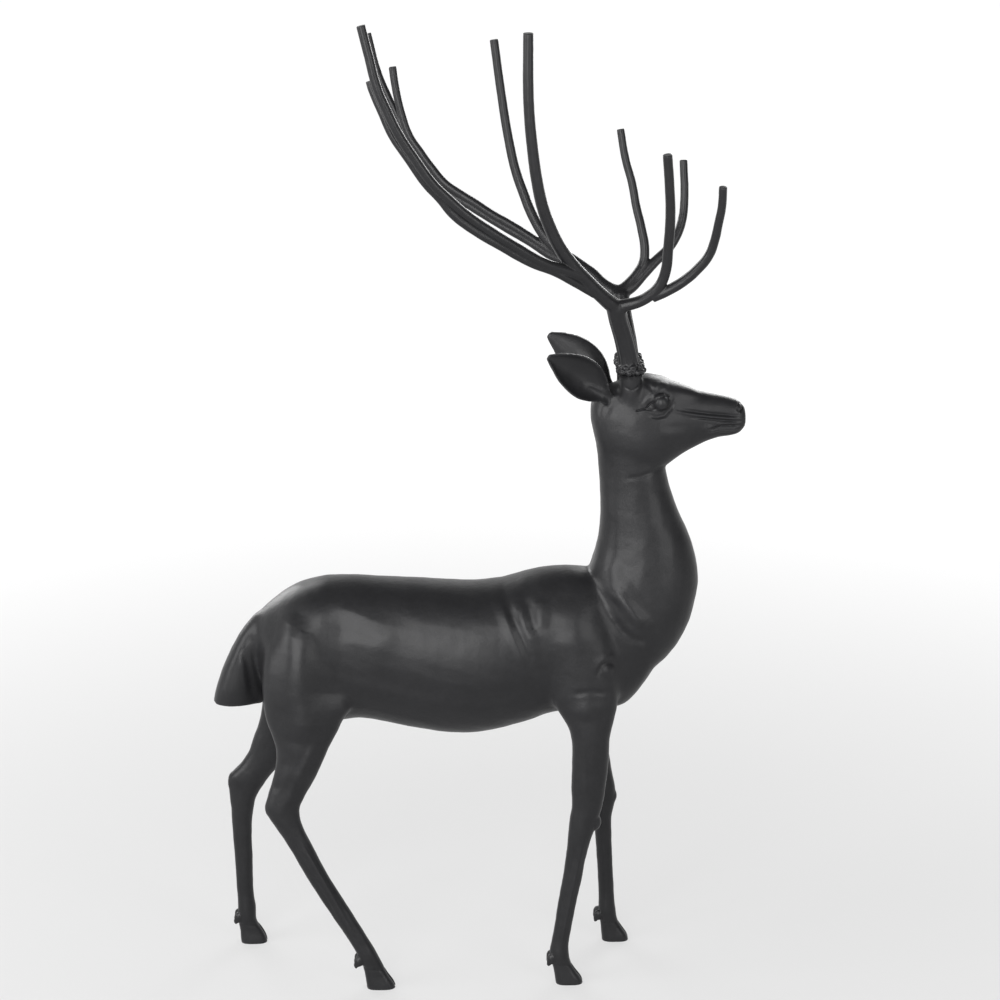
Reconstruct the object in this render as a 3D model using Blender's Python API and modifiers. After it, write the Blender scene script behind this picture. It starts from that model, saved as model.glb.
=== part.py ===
"""A standing stag in cast metal: one hollow-cast body and two antlers seated on its brow.

Metres, +Z up, +X the way the stag faces, -Y its right side. The origin is on the ground, under
the middle of the whole. Pose and proportions are stations in thousandths of a metre at full
height; the antlers' seats, burrs, rods and fits have sizes of their own.
"""

import math

import bmesh
import bpy
import numpy as np
from mathutils import Matrix, Vector

# Driving sizes, in metres
HEIGHT = 1.215  # ground to the highest antler tip
SEAT_RADIUS = 0.0145  # flat top of the boss that carries an antler
SEAT_SPREAD = 0.0205  # from the middle plane to the centre of a seat
SEAT_GAP = 0.0003  # between a boss and its antler
BOSS_DEPTH = 0.034  # how far a boss reaches down into the head
BOSS_FOOT = 0.0125  # radius of a boss at its lower end
LEAN_OUT = math.radians(1.5)  # of a seat's axis, away from the middle plane
LEAN_BACK = math.radians(0.0)  # of a seat's axis, towards the tail
BEAD_RADIUS = 0.0040  # of a bead on the burr
BEAD_INSET = 0.0003  # of the bead centres from the rim of the seat
BEAD_RISE = 0.0032  # of the bead centres above the seat
BEADS = 11
BURR_DEPTH = 0.012  # thickness of the disc inside the ring of beads, half of it below the seat
STEM_BASE = 0.0125  # radius of an antler's stem just above its burr
STEM_TOP = 0.0112  # radius of the stem under its fork
EAR_WALL = 0.0048
EYE_RADIUS = 0.0088
HOOF_CLEFT = 0.0030  # depth of the cleft in the front of a hoof
CLEFT_HALF = 0.0040  # half width of the cleft
CLEFT_RUN = 0.024  # how far the cleft runs back from the hoof's front edge
CLEFT_FADE = 0.010  # stretch over which it gets to its depth

# Surface sizes, in metres
BODY_GRAIN = 0.0028  # cell of the joined body surface
BODY_REGAIN = 0.0008  # what the softening takes off the body's limbs
ANTLER_REGAIN = 0.0003  # what it takes off the rods
ANTLER_GRAIN = 0.0017  # cell of the joined antler surface
BODY_FACES = 6850
ANTLER_FACES = 1450
CUT_SPILL = 0.0084  # what is cut off above a seat
FOOT_SPILL = 0.032  # what is cut off under an antler
FLOOR_SPILL = 0.3  # what is cut off under the soles
FLANK = 2.5  # how soon carving fades where the surface turns away from the side view
STROKE_END = 0.35  # share of its height a stroke keeps at its ends
STROKE_FADE = 6  # a stroke reaches its full height after one over this of its length
ROD_TAPER = 0.8  # under one, a rod thins sooner near its start

# One thousandth of a metre at full height, the unit of every station below
STATION_HEIGHT = 1215.0
UNIT = HEIGHT / STATION_HEIGHT
GROUND = 4.2  # level of the soles among the stations

# Paint: its colour and how rough it is on the body and on the antlers
BLACK = (0.012, 0.012, 0.013)
BODY_SHEEN = 0.38
ANTLER_SHEEN = 0.34

RIGHT = -1
LEFT = 1
RING_POINTS = 40
SEAT_X = 155.5
SEAT_Z = 785.8

# Trunk: x, top, bottom, half width
TRUNK = (
    (-300, 472, 425, 14),
    (-292, 484, 394, 34),
    (-276, 498, 366, 53),
    (-260, 509, 350, 63),
    (-247, 515, 345, 67),
    (-235, 519, 343, 69),
    (-220, 523, 342, 71),
    (-200, 525, 343, 71),
    (-175, 525, 346, 70),
    (-140, 522, 341, 70),
    (-100, 520, 333, 73),
    (-60, 517, 327, 76),
    (-25, 516, 328, 77),
    (5, 520, 333, 75),
    (35, 529, 341, 71),
    (62, 534, 350, 67),
    (98, 534, 354, 62),
    (113, 530, 354, 60),
    (130, 508, 355, 56),
    (157, 470, 363, 48),
    (174, 446, 383, 38),
    (188, 428, 402, 20),
)
# Neck: z, back, front, half width
NECK = (
    (402, 116, 184, 34),
    (418, 106, 202, 44),
    (436, 100, 217, 50),
    (468, 96, 233, 53),
    (491, 99, 239, 52),
    (515, 104, 243, 49),
    (546, 114, 240, 44),
    (577, 121, 231, 39),
    (608, 123, 217, 35),
    (640, 122, 206, 32),
    (665, 120, 200, 31),
    (700, 116, 196, 30),
    (726, 114, 188, 22),
)
# Head: x, top, bottom, half width
HEAD = (
    (110, 744, 722, 8),
    (113, 752, 708, 16),
    (119, 760, 688, 24),
    (130, 766, 668, 30),
    (145, 771, 659, 33),
    (160, 773, 656, 35),
    (175, 773, 656, 35),
    (190, 768, 661, 34),
    (201, 763, 667, 31),
    (216, 763, 678, 26),
    (240, 758, 692, 21),
    (262, 753, 701, 18),
    (280, 749, 704, 17),
    (289, 745, 707, 16),
    (296, 736, 715, 12),
)
# Flat forehead between the brows: x, top, bottom, half width
FOREHEAD = (
    (140, 765, 742, 15),
    (150, 772, 736, 22),
    (162, 777, 732, 26),
    (175, 779, 730, 28),
    (188, 777, 730, 28),
    (201, 773, 732, 25),
    (214, 768, 734, 20),
    (228, 763, 736, 16),
    (245, 756, 738, 12),
)
# Tail: z, back, front, half width
TAIL = (
    (363, -356, -292, 18),
    (380, -352, -292, 21),
    (410, -342, -290, 21),
    (440, -328, -283, 19),
    (462, -315, -277, 16),
    (482, -300, -268, 10),
)
# Legs: z, middle, half depth, distance from the middle plane, half width
LEGS = {
    "fore_right": (
        RIGHT,
        (
            (-6, 87, 16.0, 59, 11.5),
            (8, 85, 16.5, 59, 12.0),
            (20, 80, 13.2, 59, 10.5),
            (30, 76, 11.8, 59, 10.0),
            (43, 73, 11.8, 59, 11.0),
            (58, 74, 10.8, 59, 9.3),
            (76, 77, 10.6, 59, 8.8),
            (109, 82, 11.2, 59, 8.8),
            (142, 88, 11.8, 59, 9.2),
            (175, 93, 12.4, 59, 10.0),
            (203, 98, 14.5, 59, 12.0),
            (223, 102, 17.0, 58, 13.5),
            (240, 106, 18.3, 58, 13.5),
            (271, 108, 21.0, 58, 15.0),
            (303, 110, 22.2, 57, 17.0),
            (333, 110, 23.5, 56, 19.0),
            (350, 109, 28.5, 55, 20.5),
            (367, 106, 36.0, 53, 22.0),
            (400, 100, 43.0, 50, 24.0),
            (440, 94, 46.0, 47, 25.0),
            (475, 90, 40.0, 44, 22.0),
            (505, 86, 26.0, 38, 15.0),
        ),
    ),
    "fore_left": (
        LEFT,
        (
            (-6, 153, 16.5, 62, 11.5),
            (8, 151, 16.5, 62, 12.0),
            (20, 147, 13.2, 62, 10.5),
            (32, 143, 11.0, 62, 10.0),
            (47, 141, 10.6, 62, 11.0),
            (62, 140, 9.9, 62, 9.3),
            (83, 139, 9.8, 62, 8.8),
            (117, 137, 9.8, 61, 8.8),
            (151, 135, 10.3, 61, 9.2),
            (180, 134, 11.0, 60, 10.5),
            (203, 135, 14.5, 60, 13.0),
            (220, 133, 15.8, 59, 13.5),
            (236, 129, 16.6, 59, 13.5),
            (255, 124, 18.2, 58, 14.5),
            (280, 118, 21.0, 58, 16.0),
            (310, 114, 22.5, 57, 17.5),
            (335, 110, 24.0, 55, 19.0),
            (350, 108, 28.0, 55, 20.5),
            (367, 105, 34.0, 53, 22.0),
            (400, 100, 43.0, 50, 24.0),
            (440, 94, 46.0, 47, 25.0),
            (475, 90, 40.0, 44, 22.0),
            (505, 86, 26.0, 38, 15.0),
        ),
    ),
    "hind_right": (
        RIGHT,
        (
            (-6, -150, 17.0, 66, 11.5),
            (8, -152, 17.0, 66, 12.0),
            (21, -157, 14.0, 66, 10.5),
            (34, -162, 12.6, 66, 10.2),
            (50, -169, 12.2, 66, 11.0),
            (67, -178, 12.2, 66, 9.4),
            (100, -197, 13.0, 66, 9.2),
            (133, -216, 13.4, 66, 9.4),
            (166, -234, 13.5, 66, 9.8),
            (199, -250, 14.5, 65, 10.6),
            (220, -261, 16.0, 65, 11.5),
            (236, -268, 18.8, 65, 12.2),
            (248, -270, 21.0, 65, 12.4),
            (263, -265, 22.5, 64, 13.0),
            (279, -258, 24.6, 63, 14.5),
            (295, -252, 26.5, 64, 16.0),
            (311, -247, 28.8, 62, 18.0),
            (326, -244, 32.2, 60, 20.0),
            (342, -242, 39.2, 57, 22.5),
            (358, -241, 46.0, 55, 25.0),
            (376, -237, 54.0, 52, 27.0),
            (402, -237, 56.0, 49, 29.0),
            (430, -235, 56.0, 47, 29.0),
            (460, -232, 48.0, 44, 25.0),
            (488, -228, 32.0, 38, 16.0),
        ),
    ),
    "hind_left": (
        LEFT,
        (
            (-6, -318, 16.0, 68, 11.5),
            (8, -319, 16.5, 68, 12.0),
            (20, -322, 14.0, 68, 10.5),
            (34, -327, 11.4, 67, 10.2),
            (50, -327, 11.4, 67, 11.0),
            (66, -328, 10.4, 67, 9.4),
            (87, -329, 10.5, 67, 9.2),
            (121, -329, 11.3, 66, 9.2),
            (155, -330, 11.8, 66, 9.4),
            (176, -330, 12.8, 66, 10.2),
            (192, -329, 14.0, 65, 11.2),
            (207, -328, 16.6, 65, 12.0),
            (222, -324, 21.0, 65, 12.4),
            (238, -318, 25.5, 64, 13.0),
            (255, -303, 25.5, 64, 14.0),
            (271, -292, 26.5, 63, 15.5),
            (288, -284, 28.5, 62, 17.0),
            (304, -275, 31.5, 61, 18.5),
            (320, -267, 35.0, 59, 20.5),
            (345, -256, 42.0, 56, 23.5),
            (372, -246, 50.0, 52, 27.0),
            (402, -239, 56.0, 49, 29.0),
            (430, -236, 56.0, 47, 29.0),
            (460, -232, 48.0, 44, 25.0),
            (488, -228, 32.0, 38, 16.0),
        ),
    ),
}
# Bumps on the legs: leg, x, z, distance from the middle plane, radii along x, y and z
BUMPS = (
    ("fore_right", 116, 222, 58, 8, 9, 11),
    ("fore_left", 143, 207, 60, 8.5, 9, 12),
    ("hind_right", -285, 248, 65, 8, 8, 12),
    ("hind_left", -339, 228, 65, 7.5, 8, 15),
)
# Dew claws: leg, x, z, distance from the middle plane to the middle of the pair
DEW_CLAWS = (
    ("fore_right", 63, 38, 59),
    ("fore_left", 129, 40, 62),
    ("hind_right", -179, 41, 66),
    ("hind_left", -338, 40, 67),
)
DEW_CLAW_SPREAD = 6.5
DEW_CLAW_RADII = (6.2, 4.5, 7.5)
# Front edge of each hoof at the ground, and its distance from the middle plane
HOOF_FRONTS = (
    ("fore_right", 101, 59),
    ("fore_left", 169, 62),
    ("hind_right", -133, 66),
    ("hind_left", -303, 68),
)
HOOF_HEIGHT = 27

# Right ear along its axis: x, y, z, half width, cup depth. The left one mirrors it, a little forward
EAR = (
    (132, -24, 754, 7, 3),
    (124, -29, 760, 10, 6),
    (116, -33, 768, 17, 10),
    (106, -38, 778, 23, 12),
    (94, -43, 789, 24, 12),
    (80, -48, 799, 20, 9),
    (67, -52, 808, 12, 5),
    (55, -55, 815, 3, 1),
)
EAR_FACING = (0.28, -0.94, 0.05)
EAR_LINING = 0.96  # width of the inner face over the outer
LEFT_EAR_SHIFT = (5, 0, 1)
EYE = (191, 29, 752)

# Antlers: points are x, distance from the middle plane, z. A rod has a radius at its start and its end
RIGHT_STEM = ((154, 22, 794), (150, 26, 816), (145, 32, 836), (139, 40, 856), (135, 47, 874))
LEFT_STEM = ((157, 22, 794), (154, 26, 813), (151, 32, 831), (148, 40, 849), (145, 47, 869))
FRONT_RIGHT = (
    (136, 46, 872), (147, 50, 876), (162, 53, 881), (174, 57, 889), (184, 61, 900),
    (191, 67, 919), (193, 75, 947), (194, 86, 989), (192, 94, 1021), (188, 102, 1063),
)
FORWARD_RIGHT = (
    (177, 57, 887), (195, 61, 896), (214, 66, 909), (229, 71, 924), (240, 77, 940),
    (246, 84, 960), (249, 91, 980), (252, 98, 1003), (252, 104, 1026),
)
MIDDLE_RIGHT = (
    (136, 46, 872), (120, 58, 887), (100, 71, 909), (81, 83, 932), (66, 93, 955), (56, 100, 976),
    (46, 108, 1004), (40, 114, 1030), (34, 120, 1070), (29, 126, 1125), (28, 130, 1205),
)
REAR_RIGHT = (
    (118, 60, 887), (91, 79, 918), (69, 92, 929), (49, 103, 938), (16, 119, 960), (-15, 132, 982),
    (-41, 142, 1002), (-61, 149, 1021), (-79, 155, 1040), (-99, 161, 1069), (-116, 165, 1096),
    (-129, 168, 1123), (-140, 170, 1150), (-149, 171, 1186), (-157, 171, 1219),
)
LOW_REAR_RIGHT = (
    (109, 64, 893), (84, 82, 911), (61, 95, 926), (34, 108, 939), (-2, 123, 962), (-33, 135, 983),
    (-57, 143, 1003), (-71, 147, 1021), (-87, 150, 1039), (-106, 152, 1067), (-124, 152, 1094),
    (-136, 151, 1121), (-146, 149, 1145), (-149, 148, 1155),
)
FRONT_LEFT = (
    (145, 47, 869), (156, 51, 878), (167, 55, 890), (175, 60, 903), (177, 64, 918),
    (173, 71, 944), (167, 79, 969), (162, 86, 996), (154, 92, 1025), (148, 97, 1060),
)
FORWARD_LEFT = (
    (145, 47, 868), (160, 51, 875), (175, 56, 890), (189, 61, 904), (204, 67, 917),
    (216, 74, 933), (223, 81, 951), (226, 88, 974), (225, 98, 1022),
)
MIDDLE_LEFT = (
    (145, 46, 868), (135, 53, 872), (124, 60, 879), (114, 67, 888), (103, 74, 895), (92, 80, 902),
    (75, 88, 912), (59, 95, 927), (44, 103, 950), (31, 111, 981), (22, 116, 1007), (13, 121, 1048),
    (6, 124, 1091), (-4, 127, 1164),
)
REAR_LEFT = (
    (111, 69, 886), (92, 80, 898), (69, 90, 904), (37, 104, 922), (8, 116, 937), (-21, 127, 953),
    (-39, 134, 963), (-57, 141, 972), (-74, 148, 986), (-90, 155, 1003), (-103, 161, 1024),
    (-114, 166, 1048), (-124, 170, 1070), (-133, 174, 1089), (-145, 178, 1118), (-157, 181, 1165),
)
HIGH_REAR_LEFT = (
    (75, 88, 905), (51, 98, 920), (22, 110, 937), (-7, 121, 952), (-27, 129, 964), (-48, 136, 976),
    (-63, 141, 986), (-80, 147, 1005), (-94, 151, 1024), (-107, 155, 1043), (-117, 158, 1072),
    (-123, 160, 1099), (-127, 161, 1127),
)
RIGHT_RODS = (
    (7.6, 5.7, FRONT_RIGHT),
    (6.9, 4.9, FORWARD_RIGHT),
    (9.4, 6.1, MIDDLE_RIGHT),
    (6.4, 5.3, REAR_RIGHT),
    (5.6, 4.5, LOW_REAR_RIGHT),
)
LEFT_RODS = (
    (6.8, 4.9, FRONT_LEFT),
    (7.6, 5.0, FORWARD_LEFT),
    (8.6, 5.5, MIDDLE_LEFT),
    (5.8, 4.6, REAR_LEFT),
    (5.4, 5.0, HIGH_REAR_LEFT),
)

# Carving on both sides: x and z along a stroke in the side view, half width, height. Under nought is a cut
STROKES = (
    (((-2, 508), (14, 492), (28, 468), (38, 436), (41, 404)), 9, -2.6),
    (((12, 506), (24, 486), (34, 466)), 5, -1.6),
    (((52, 506), (47, 490), (44, 474)), 6, -1.8),
    (((22, 508), (32, 490), (40, 468), (46, 446)), 7, 1.6),
    (((112, 548), (122, 546), (132, 534), (142, 516), (152, 497), (170, 482), (186, 468)), 10, 2.6),
    (((130, 497), (139, 478), (152, 463), (170, 456), (186, 459)), 8, -1.8),
    (((-186, 396), (-124, 391), (-75, 386), (-26, 385), (30, 396)), 14, -1.6),
    (((86, 396), (110, 391), (134, 393)), 5, -1.8),
    (((-206, 480), (-204, 440), (-202, 405), (-212, 374)), 16, -4.2),
    (((-243, 430), (-238, 380), (-242, 330), (-256, 290)), 10, 1.8),
    (((-262, 226), (-237, 181), (-201, 109), (-172, 56)), 4, 1.6),
    (((134, 656), (150, 658), (180, 660), (200, 664)), 6, -1.6),
    (((-317, 440), (-311, 405), (-307, 366)), 4, -2.4),
)
HEAD_STROKES = (
    (((160, 743), (172, 750), (184, 759), (195, 765)), 2.6, -2.6),
    (((165, 752), (178, 762), (190, 770), (200, 768)), 3.6, 1.8),
    (((164, 744), (176, 738), (188, 732), (199, 735), (207, 745), (208, 754)), 3.0, -2.2),
    (((209, 744), (240, 737), (264, 733), (292, 729)), 4.0, 1.7),
    (((212, 736), (240, 729), (264, 726), (292, 724)), 3.4, -1.1),
    (((256, 717), (268, 718.5), (280, 719.5), (297, 720)), 2.6, -2.4),
    (((286, 744), (290, 741), (291, 736)), 2.6, -2.4),
    (((141, 764), (150, 759), (162, 759), (171, 763)), 3.0, -1.6),
)
# Swellings on both sides: x, distance from the middle plane, z, reach along x, y and z, height
SWELLS = (
    (-160, 70, 468, 60, 40, 34, 2.0),
    (-262, 60, 470, 26, 40, 30, 2.0),
    (72, 66, 470, 40, 40, 50, 2.5),
    (130, 58, 421, 14, 30, 14, 3.2),
    (104, 70, 384, 26, 30, 15, 2.0),
    (176, 36, 415, 24, 30, 34, 2.5),
    (250, 22, 716, 9, 16, 8, 1.8),
)


def clear_scene():
    """Start from an empty scene."""
    for item in list(bpy.data.objects):
        bpy.data.objects.remove(item)


def new_collection(name):
    """A collection linked under the scene's own."""
    made = bpy.data.collections.new(name)
    bpy.context.scene.collection.children.link(made)
    return made


def new_material(name, colour, roughness):
    """A plain surface of one colour."""
    made = bpy.data.materials.new(name)
    made.use_nodes = True
    shader = made.node_tree.nodes["Principled BSDF"]
    shader.inputs["Base Color"].default_value = (*colour, 1.0)
    shader.inputs["Roughness"].default_value = roughness
    return made


def new_object(name, mesh, collection):
    """An object of its own around a mesh."""
    made = bpy.data.objects.new(name, mesh)
    collection.objects.link(made)
    return made


def evaluated_mesh(item):
    """A mesh of the object as its modifiers leave it; the object itself is removed."""
    bpy.context.view_layer.update()
    graph = bpy.context.evaluated_depsgraph_get()
    mesh = bpy.data.meshes.new_from_object(item.evaluated_get(graph))
    bpy.data.objects.remove(item)
    return mesh


def flow(rows, steps=6):
    """Smooth rows between stations whose first number rises, with steps rows to a station."""
    table = np.array(rows, float)
    at = table[:, 0]
    slope = np.gradient(table, at, axis=0)
    made = [table[0]]
    for low, high in zip(range(len(at) - 1), range(1, len(at))):
        span = at[high] - at[low]
        for t in np.arange(1, steps + 1) / steps:
            made.append(
                table[low] * (2 * t**3 - 3 * t**2 + 1)
                + slope[low] * span * (t**3 - 2 * t**2 + t)
                + table[high] * (3 * t**2 - 2 * t**3)
                + slope[high] * span * (t**3 - t**2)
            )
    return np.array(made)


def oval(power=2.0):
    """Points round a unit oval: a power over 2 makes it squarer."""
    angle = np.linspace(0, 2 * math.pi, RING_POINTS, endpoint=False)
    across = np.sign(np.cos(angle)) * np.abs(np.cos(angle)) ** (2 / power)
    up = np.sign(np.sin(angle)) * np.abs(np.sin(angle)) ** (2 / power)
    return across, up


def add_skin(bm, rings):
    """A closed loft through rings with the same number of points, in stations."""
    loops = [[bm.verts.new(Vector(point) * UNIT) for point in ring] for ring in rings]
    count = len(loops[0])
    faces = []
    for low, high in zip(loops, loops[1:]):
        for i in range(count):
            j = (i + 1) % count
            faces.append(bm.faces.new((low[i], low[j], high[j], high[i])))
    faces.append(bm.faces.new(reversed(loops[0])))
    faces.append(bm.faces.new(loops[-1]))
    bmesh.ops.recalc_face_normals(bm, faces=faces)


def add_upright(bm, rows, power):
    """A loft of upright sections: x, top, bottom, half width."""
    across, up = oval(power)
    rings = []
    for x, top, bottom, half in flow(rows):
        middle = (top + bottom) / 2
        rings.append([(x, half * a, middle + (top - bottom) / 2 * u) for a, u in zip(across, up)])
    add_skin(bm, rings)


def add_level(bm, rows, power, pinch=0.0):
    """A loft of level sections: z, back, front, half width. A pinch narrows the front."""
    along, across = oval(power)
    rings = []
    for z, back, front, half in flow(rows):
        middle = (back + front) / 2
        reach = (front - back) / 2
        rings.append(
            [(middle + reach * u, half * a * (1 - pinch * u), z) for u, a in zip(along, across)]
        )
    add_skin(bm, rings)


def add_leg(bm, side, rows):
    """A loft of level sections: z, middle, half depth, distance from the middle plane, half width."""
    along, across = oval()
    rings = []
    for z, middle, depth, out, half in flow(rows):
        rings.append([(middle + depth * u, side * out + half * a, z) for u, a in zip(along, across)])
    add_skin(bm, rings)


def add_pebble(bm, centre, radii):
    """A rounded lump, in stations."""
    made = bmesh.ops.create_uvsphere(bm, u_segments=16, v_segments=12, radius=UNIT)
    bmesh.ops.scale(bm, vec=Vector(radii), verts=made["verts"])
    bmesh.ops.translate(bm, vec=Vector(centre) * UNIT, verts=made["verts"])


def add_ear(bm, side):
    """A cupped leaf: each section is a crescent that opens outwards."""
    rows = np.array(EAR, float)
    points = rows[:, :3]
    run = np.gradient(points, axis=0)
    wall = EAR_WALL / UNIT
    facing = Vector(EAR_FACING).normalized()
    share = np.linspace(-1, 1, RING_POINTS // 2)
    rings = []
    for row, way in zip(rows, run):
        centre = Vector(row[:3])
        half, cup = row[3], row[4]
        across = Vector(way).cross(facing).normalized()
        outer = [
            centre + across * (half * s) - facing * (cup * (1 - s * s) + wall / 2) for s in share
        ]
        inner = [
            centre + across * (EAR_LINING * half * s) - facing * (cup * (1 - s * s) - wall / 2)
            for s in share[::-1]
        ]
        ring = outer + inner
        shift = LEFT_EAR_SHIFT if side == LEFT else (0, 0, 0)
        rings.append([(p.x + shift[0], -side * p.y + shift[1], p.z + shift[2]) for p in ring])
    add_skin(bm, rings)


def seat_frame(side):
    """Origin and axes of an antler's seat: its Z axis stands on the flat face."""
    turn = Matrix.Rotation(-side * LEAN_OUT, 4, "X") @ Matrix.Rotation(-LEAN_BACK, 4, "Y")
    place = Vector((SEAT_X * UNIT, side * SEAT_SPREAD, SEAT_Z * UNIT))
    return Matrix.Translation(place) @ turn


def add_boss(bm, side):
    """The boss under an antler, a little past its seat, where it is cut flat later."""
    made = bmesh.ops.create_cone(
        bm,
        cap_ends=True,
        segments=RING_POINTS,
        radius1=BOSS_FOOT,
        radius2=SEAT_RADIUS,
        depth=BOSS_DEPTH + CUT_SPILL,
    )
    middle = (CUT_SPILL - BOSS_DEPTH) / 2
    bmesh.ops.translate(bm, vec=Vector((0, 0, middle)), verts=made["verts"])
    bmesh.ops.transform(bm, matrix=seat_frame(side), verts=made["verts"])


def grained(name, bm, grain, rounds, collection):
    """One joined surface round all the overlapping shapes, slightly softened."""
    mesh = bpy.data.meshes.new(name)
    bm.to_mesh(mesh)
    bm.free()
    item = new_object(name, mesh, collection)
    remesh = item.modifiers.new("joined", "REMESH")
    remesh.mode = "VOXEL"
    remesh.voxel_size = grain
    soften = item.modifiers.new("softened", "SMOOTH")
    soften.factor = 0.5
    soften.iterations = rounds
    return evaluated_mesh(item)


def read_points(mesh):
    """Places and normals of a mesh's points, in stations."""
    points = np.empty(len(mesh.vertices) * 3, np.float32)
    normals = np.empty(len(mesh.vertices) * 3, np.float32)
    mesh.vertices.foreach_get("co", points)
    mesh.vertex_normals.foreach_get("vector", normals)
    return points.reshape(-1, 3).astype(float) / UNIT, normals.reshape(-1, 3).astype(float)


def write_points(mesh, points):
    """Put a mesh's points where they have been moved to."""
    mesh.vertices.foreach_set("co", (points * UNIT).astype(np.float32).ravel())
    mesh.update()


def reach_of(flat, path):
    """Distance of side-view points from a broken line, and how far along it they are, 0 to 1."""
    best = np.full(len(flat), np.inf)
    along = np.zeros(len(flat))
    path = np.array(path, float)
    lengths = np.linalg.norm(np.diff(path, axis=0), axis=1)
    done = 0.0
    for start, end, length in zip(path, path[1:], lengths):
        t = np.clip(((flat - start) @ (end - start)) / length**2, 0, 1)
        away = np.linalg.norm(flat - start - t[:, None] * (end - start), axis=1)
        nearer = away < best
        best[nearer] = away[nearer]
        along[nearer] = (done + t[nearer] * length) / lengths.sum()
        done += length
    return best, along


def bell(share):
    """One at nought, falling smoothly to nothing at one."""
    return 0.5 + 0.5 * np.cos(math.pi * np.clip(share, 0, 1))


def swell_out(mesh, thickness):
    """Move the whole surface outwards."""
    points, normals = read_points(mesh)
    write_points(mesh, points + normals * thickness / UNIT)


def carve(mesh):
    """Raise and cut the forms that show on the surface."""
    points, normals = read_points(mesh)
    outward = np.clip(np.sign(points[:, 1]) * normals[:, 1] * FLANK, 0, 1)
    flat = points[:, [0, 2]]
    move = np.zeros(len(points))
    for path, width, height in STROKES + HEAD_STROKES:
        away, along = reach_of(flat, path)
        ends = np.clip(np.minimum(along, 1 - along) * STROKE_FADE, STROKE_END, 1)
        move += bell(away / width) * ends * height * outward
    for x, out, z, reach_x, reach_y, reach_z, height in SWELLS:
        share_x = (points[:, 0] - x) / reach_x
        share_y = (np.abs(points[:, 1]) - out) / reach_y
        share_z = (points[:, 2] - z) / reach_z
        move += bell(np.sqrt(share_x**2 + share_y**2 + share_z**2)) * height * outward
    points += normals * move[:, None]
    cleave(points, normals)
    write_points(mesh, points)


def cleave(points, normals):
    """Cut the cleft into the front of each hoof."""
    depth = HOOF_CLEFT / UNIT
    half = CLEFT_HALF / UNIT
    run = CLEFT_RUN / UNIT
    fade = CLEFT_FADE / UNIT
    for leg, front, out in HOOF_FRONTS:
        across = bell(np.abs(points[:, 1] - LEGS[leg][0] * out) / half)
        level = bell((points[:, 2] - HOOF_HEIGHT / 2) / HOOF_HEIGHT) * (points[:, 2] < HOOF_HEIGHT)
        ahead = np.clip((points[:, 0] - front + run) / fade, 0, 1) * (points[:, 0] < front + fade)
        points[:, 0] -= across * level * ahead * depth * np.clip(normals[:, 0], 0, 1)


def thin_out(item, faces, planes):
    """Fewer triangles, then flat cuts by the given cutters."""
    item.data.update()
    triangles = sum(len(p.vertices) - 2 for p in item.data.polygons)
    fewer = item.modifiers.new("fewer_faces", "DECIMATE")
    fewer.ratio = faces / triangles
    fewer.use_collapse_triangulate = True
    for cutter in planes:
        cut = item.modifiers.new(cutter.name, "BOOLEAN")
        cut.operation = "DIFFERENCE"
        cut.solver = "EXACT"
        cut.object = cutter
    weld = item.modifiers.new("weld", "WELD")
    weld.merge_threshold = 0.00005


def add_cutter(name, matrix, size, collection):
    """A block that takes away what it covers."""
    bm = bmesh.new()
    bmesh.ops.create_cube(bm, size=1.0)
    bmesh.ops.scale(bm, vec=Vector(size), verts=bm.verts)
    mesh = bpy.data.meshes.new(name)
    bm.to_mesh(mesh)
    bm.free()
    item = new_object(name, mesh, collection)
    item.matrix_world = matrix
    item.hide_render = True
    item.display_type = "WIRE"
    return item


def build_body(collection, cutters):
    """Trunk, neck, head, tail and legs as one casting."""
    bm = bmesh.new()
    add_upright(bm, TRUNK, 2.15)
    add_upright(bm, HEAD, 2.25)
    add_upright(bm, FOREHEAD, 3.0)
    add_level(bm, NECK, 2.1)
    add_level(bm, TAIL, 2.0, pinch=0.35)
    for side, rows in LEGS.values():
        add_leg(bm, side, rows)
    for leg, x, z, out, *radii in BUMPS:
        add_pebble(bm, (x, LEGS[leg][0] * out, z), radii)
    for leg, x, z, out in DEW_CLAWS:
        for spread in (-DEW_CLAW_SPREAD, DEW_CLAW_SPREAD):
            add_pebble(bm, (x, LEGS[leg][0] * out + spread, z), DEW_CLAW_RADII)
    for side in (RIGHT, LEFT):
        add_ear(bm, side)
        add_boss(bm, side)
        eye = (EYE[0], side * EYE[1], EYE[2])
        add_pebble(bm, eye, [EYE_RADIUS / UNIT] * 3)
    mesh = grained("body", bm, BODY_GRAIN, 4, collection)
    swell_out(mesh, BODY_REGAIN)
    carve(mesh)
    mesh.shade_smooth()
    item = new_object("body", mesh, collection)
    seat_cutters = []
    for side, word in ((RIGHT, "right"), (LEFT, "left")):
        size = (3 * SEAT_RADIUS, 2 * SEAT_SPREAD, 2 * CUT_SPILL)
        lift = Matrix.Translation((0, 0, CUT_SPILL))
        seat_cutters.append(add_cutter(f"seat_cut_{word}", seat_frame(side) @ lift, size, cutters))
    floor = (HEIGHT, HEIGHT, FLOOR_SPILL)
    level = GROUND * UNIT - FLOOR_SPILL / 2
    floor_cutter = add_cutter("floor_cut", Matrix.Translation((0, 0, level)), floor, cutters)
    thin_out(item, BODY_FACES, [floor_cutter, *seat_cutters])
    return item


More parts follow.
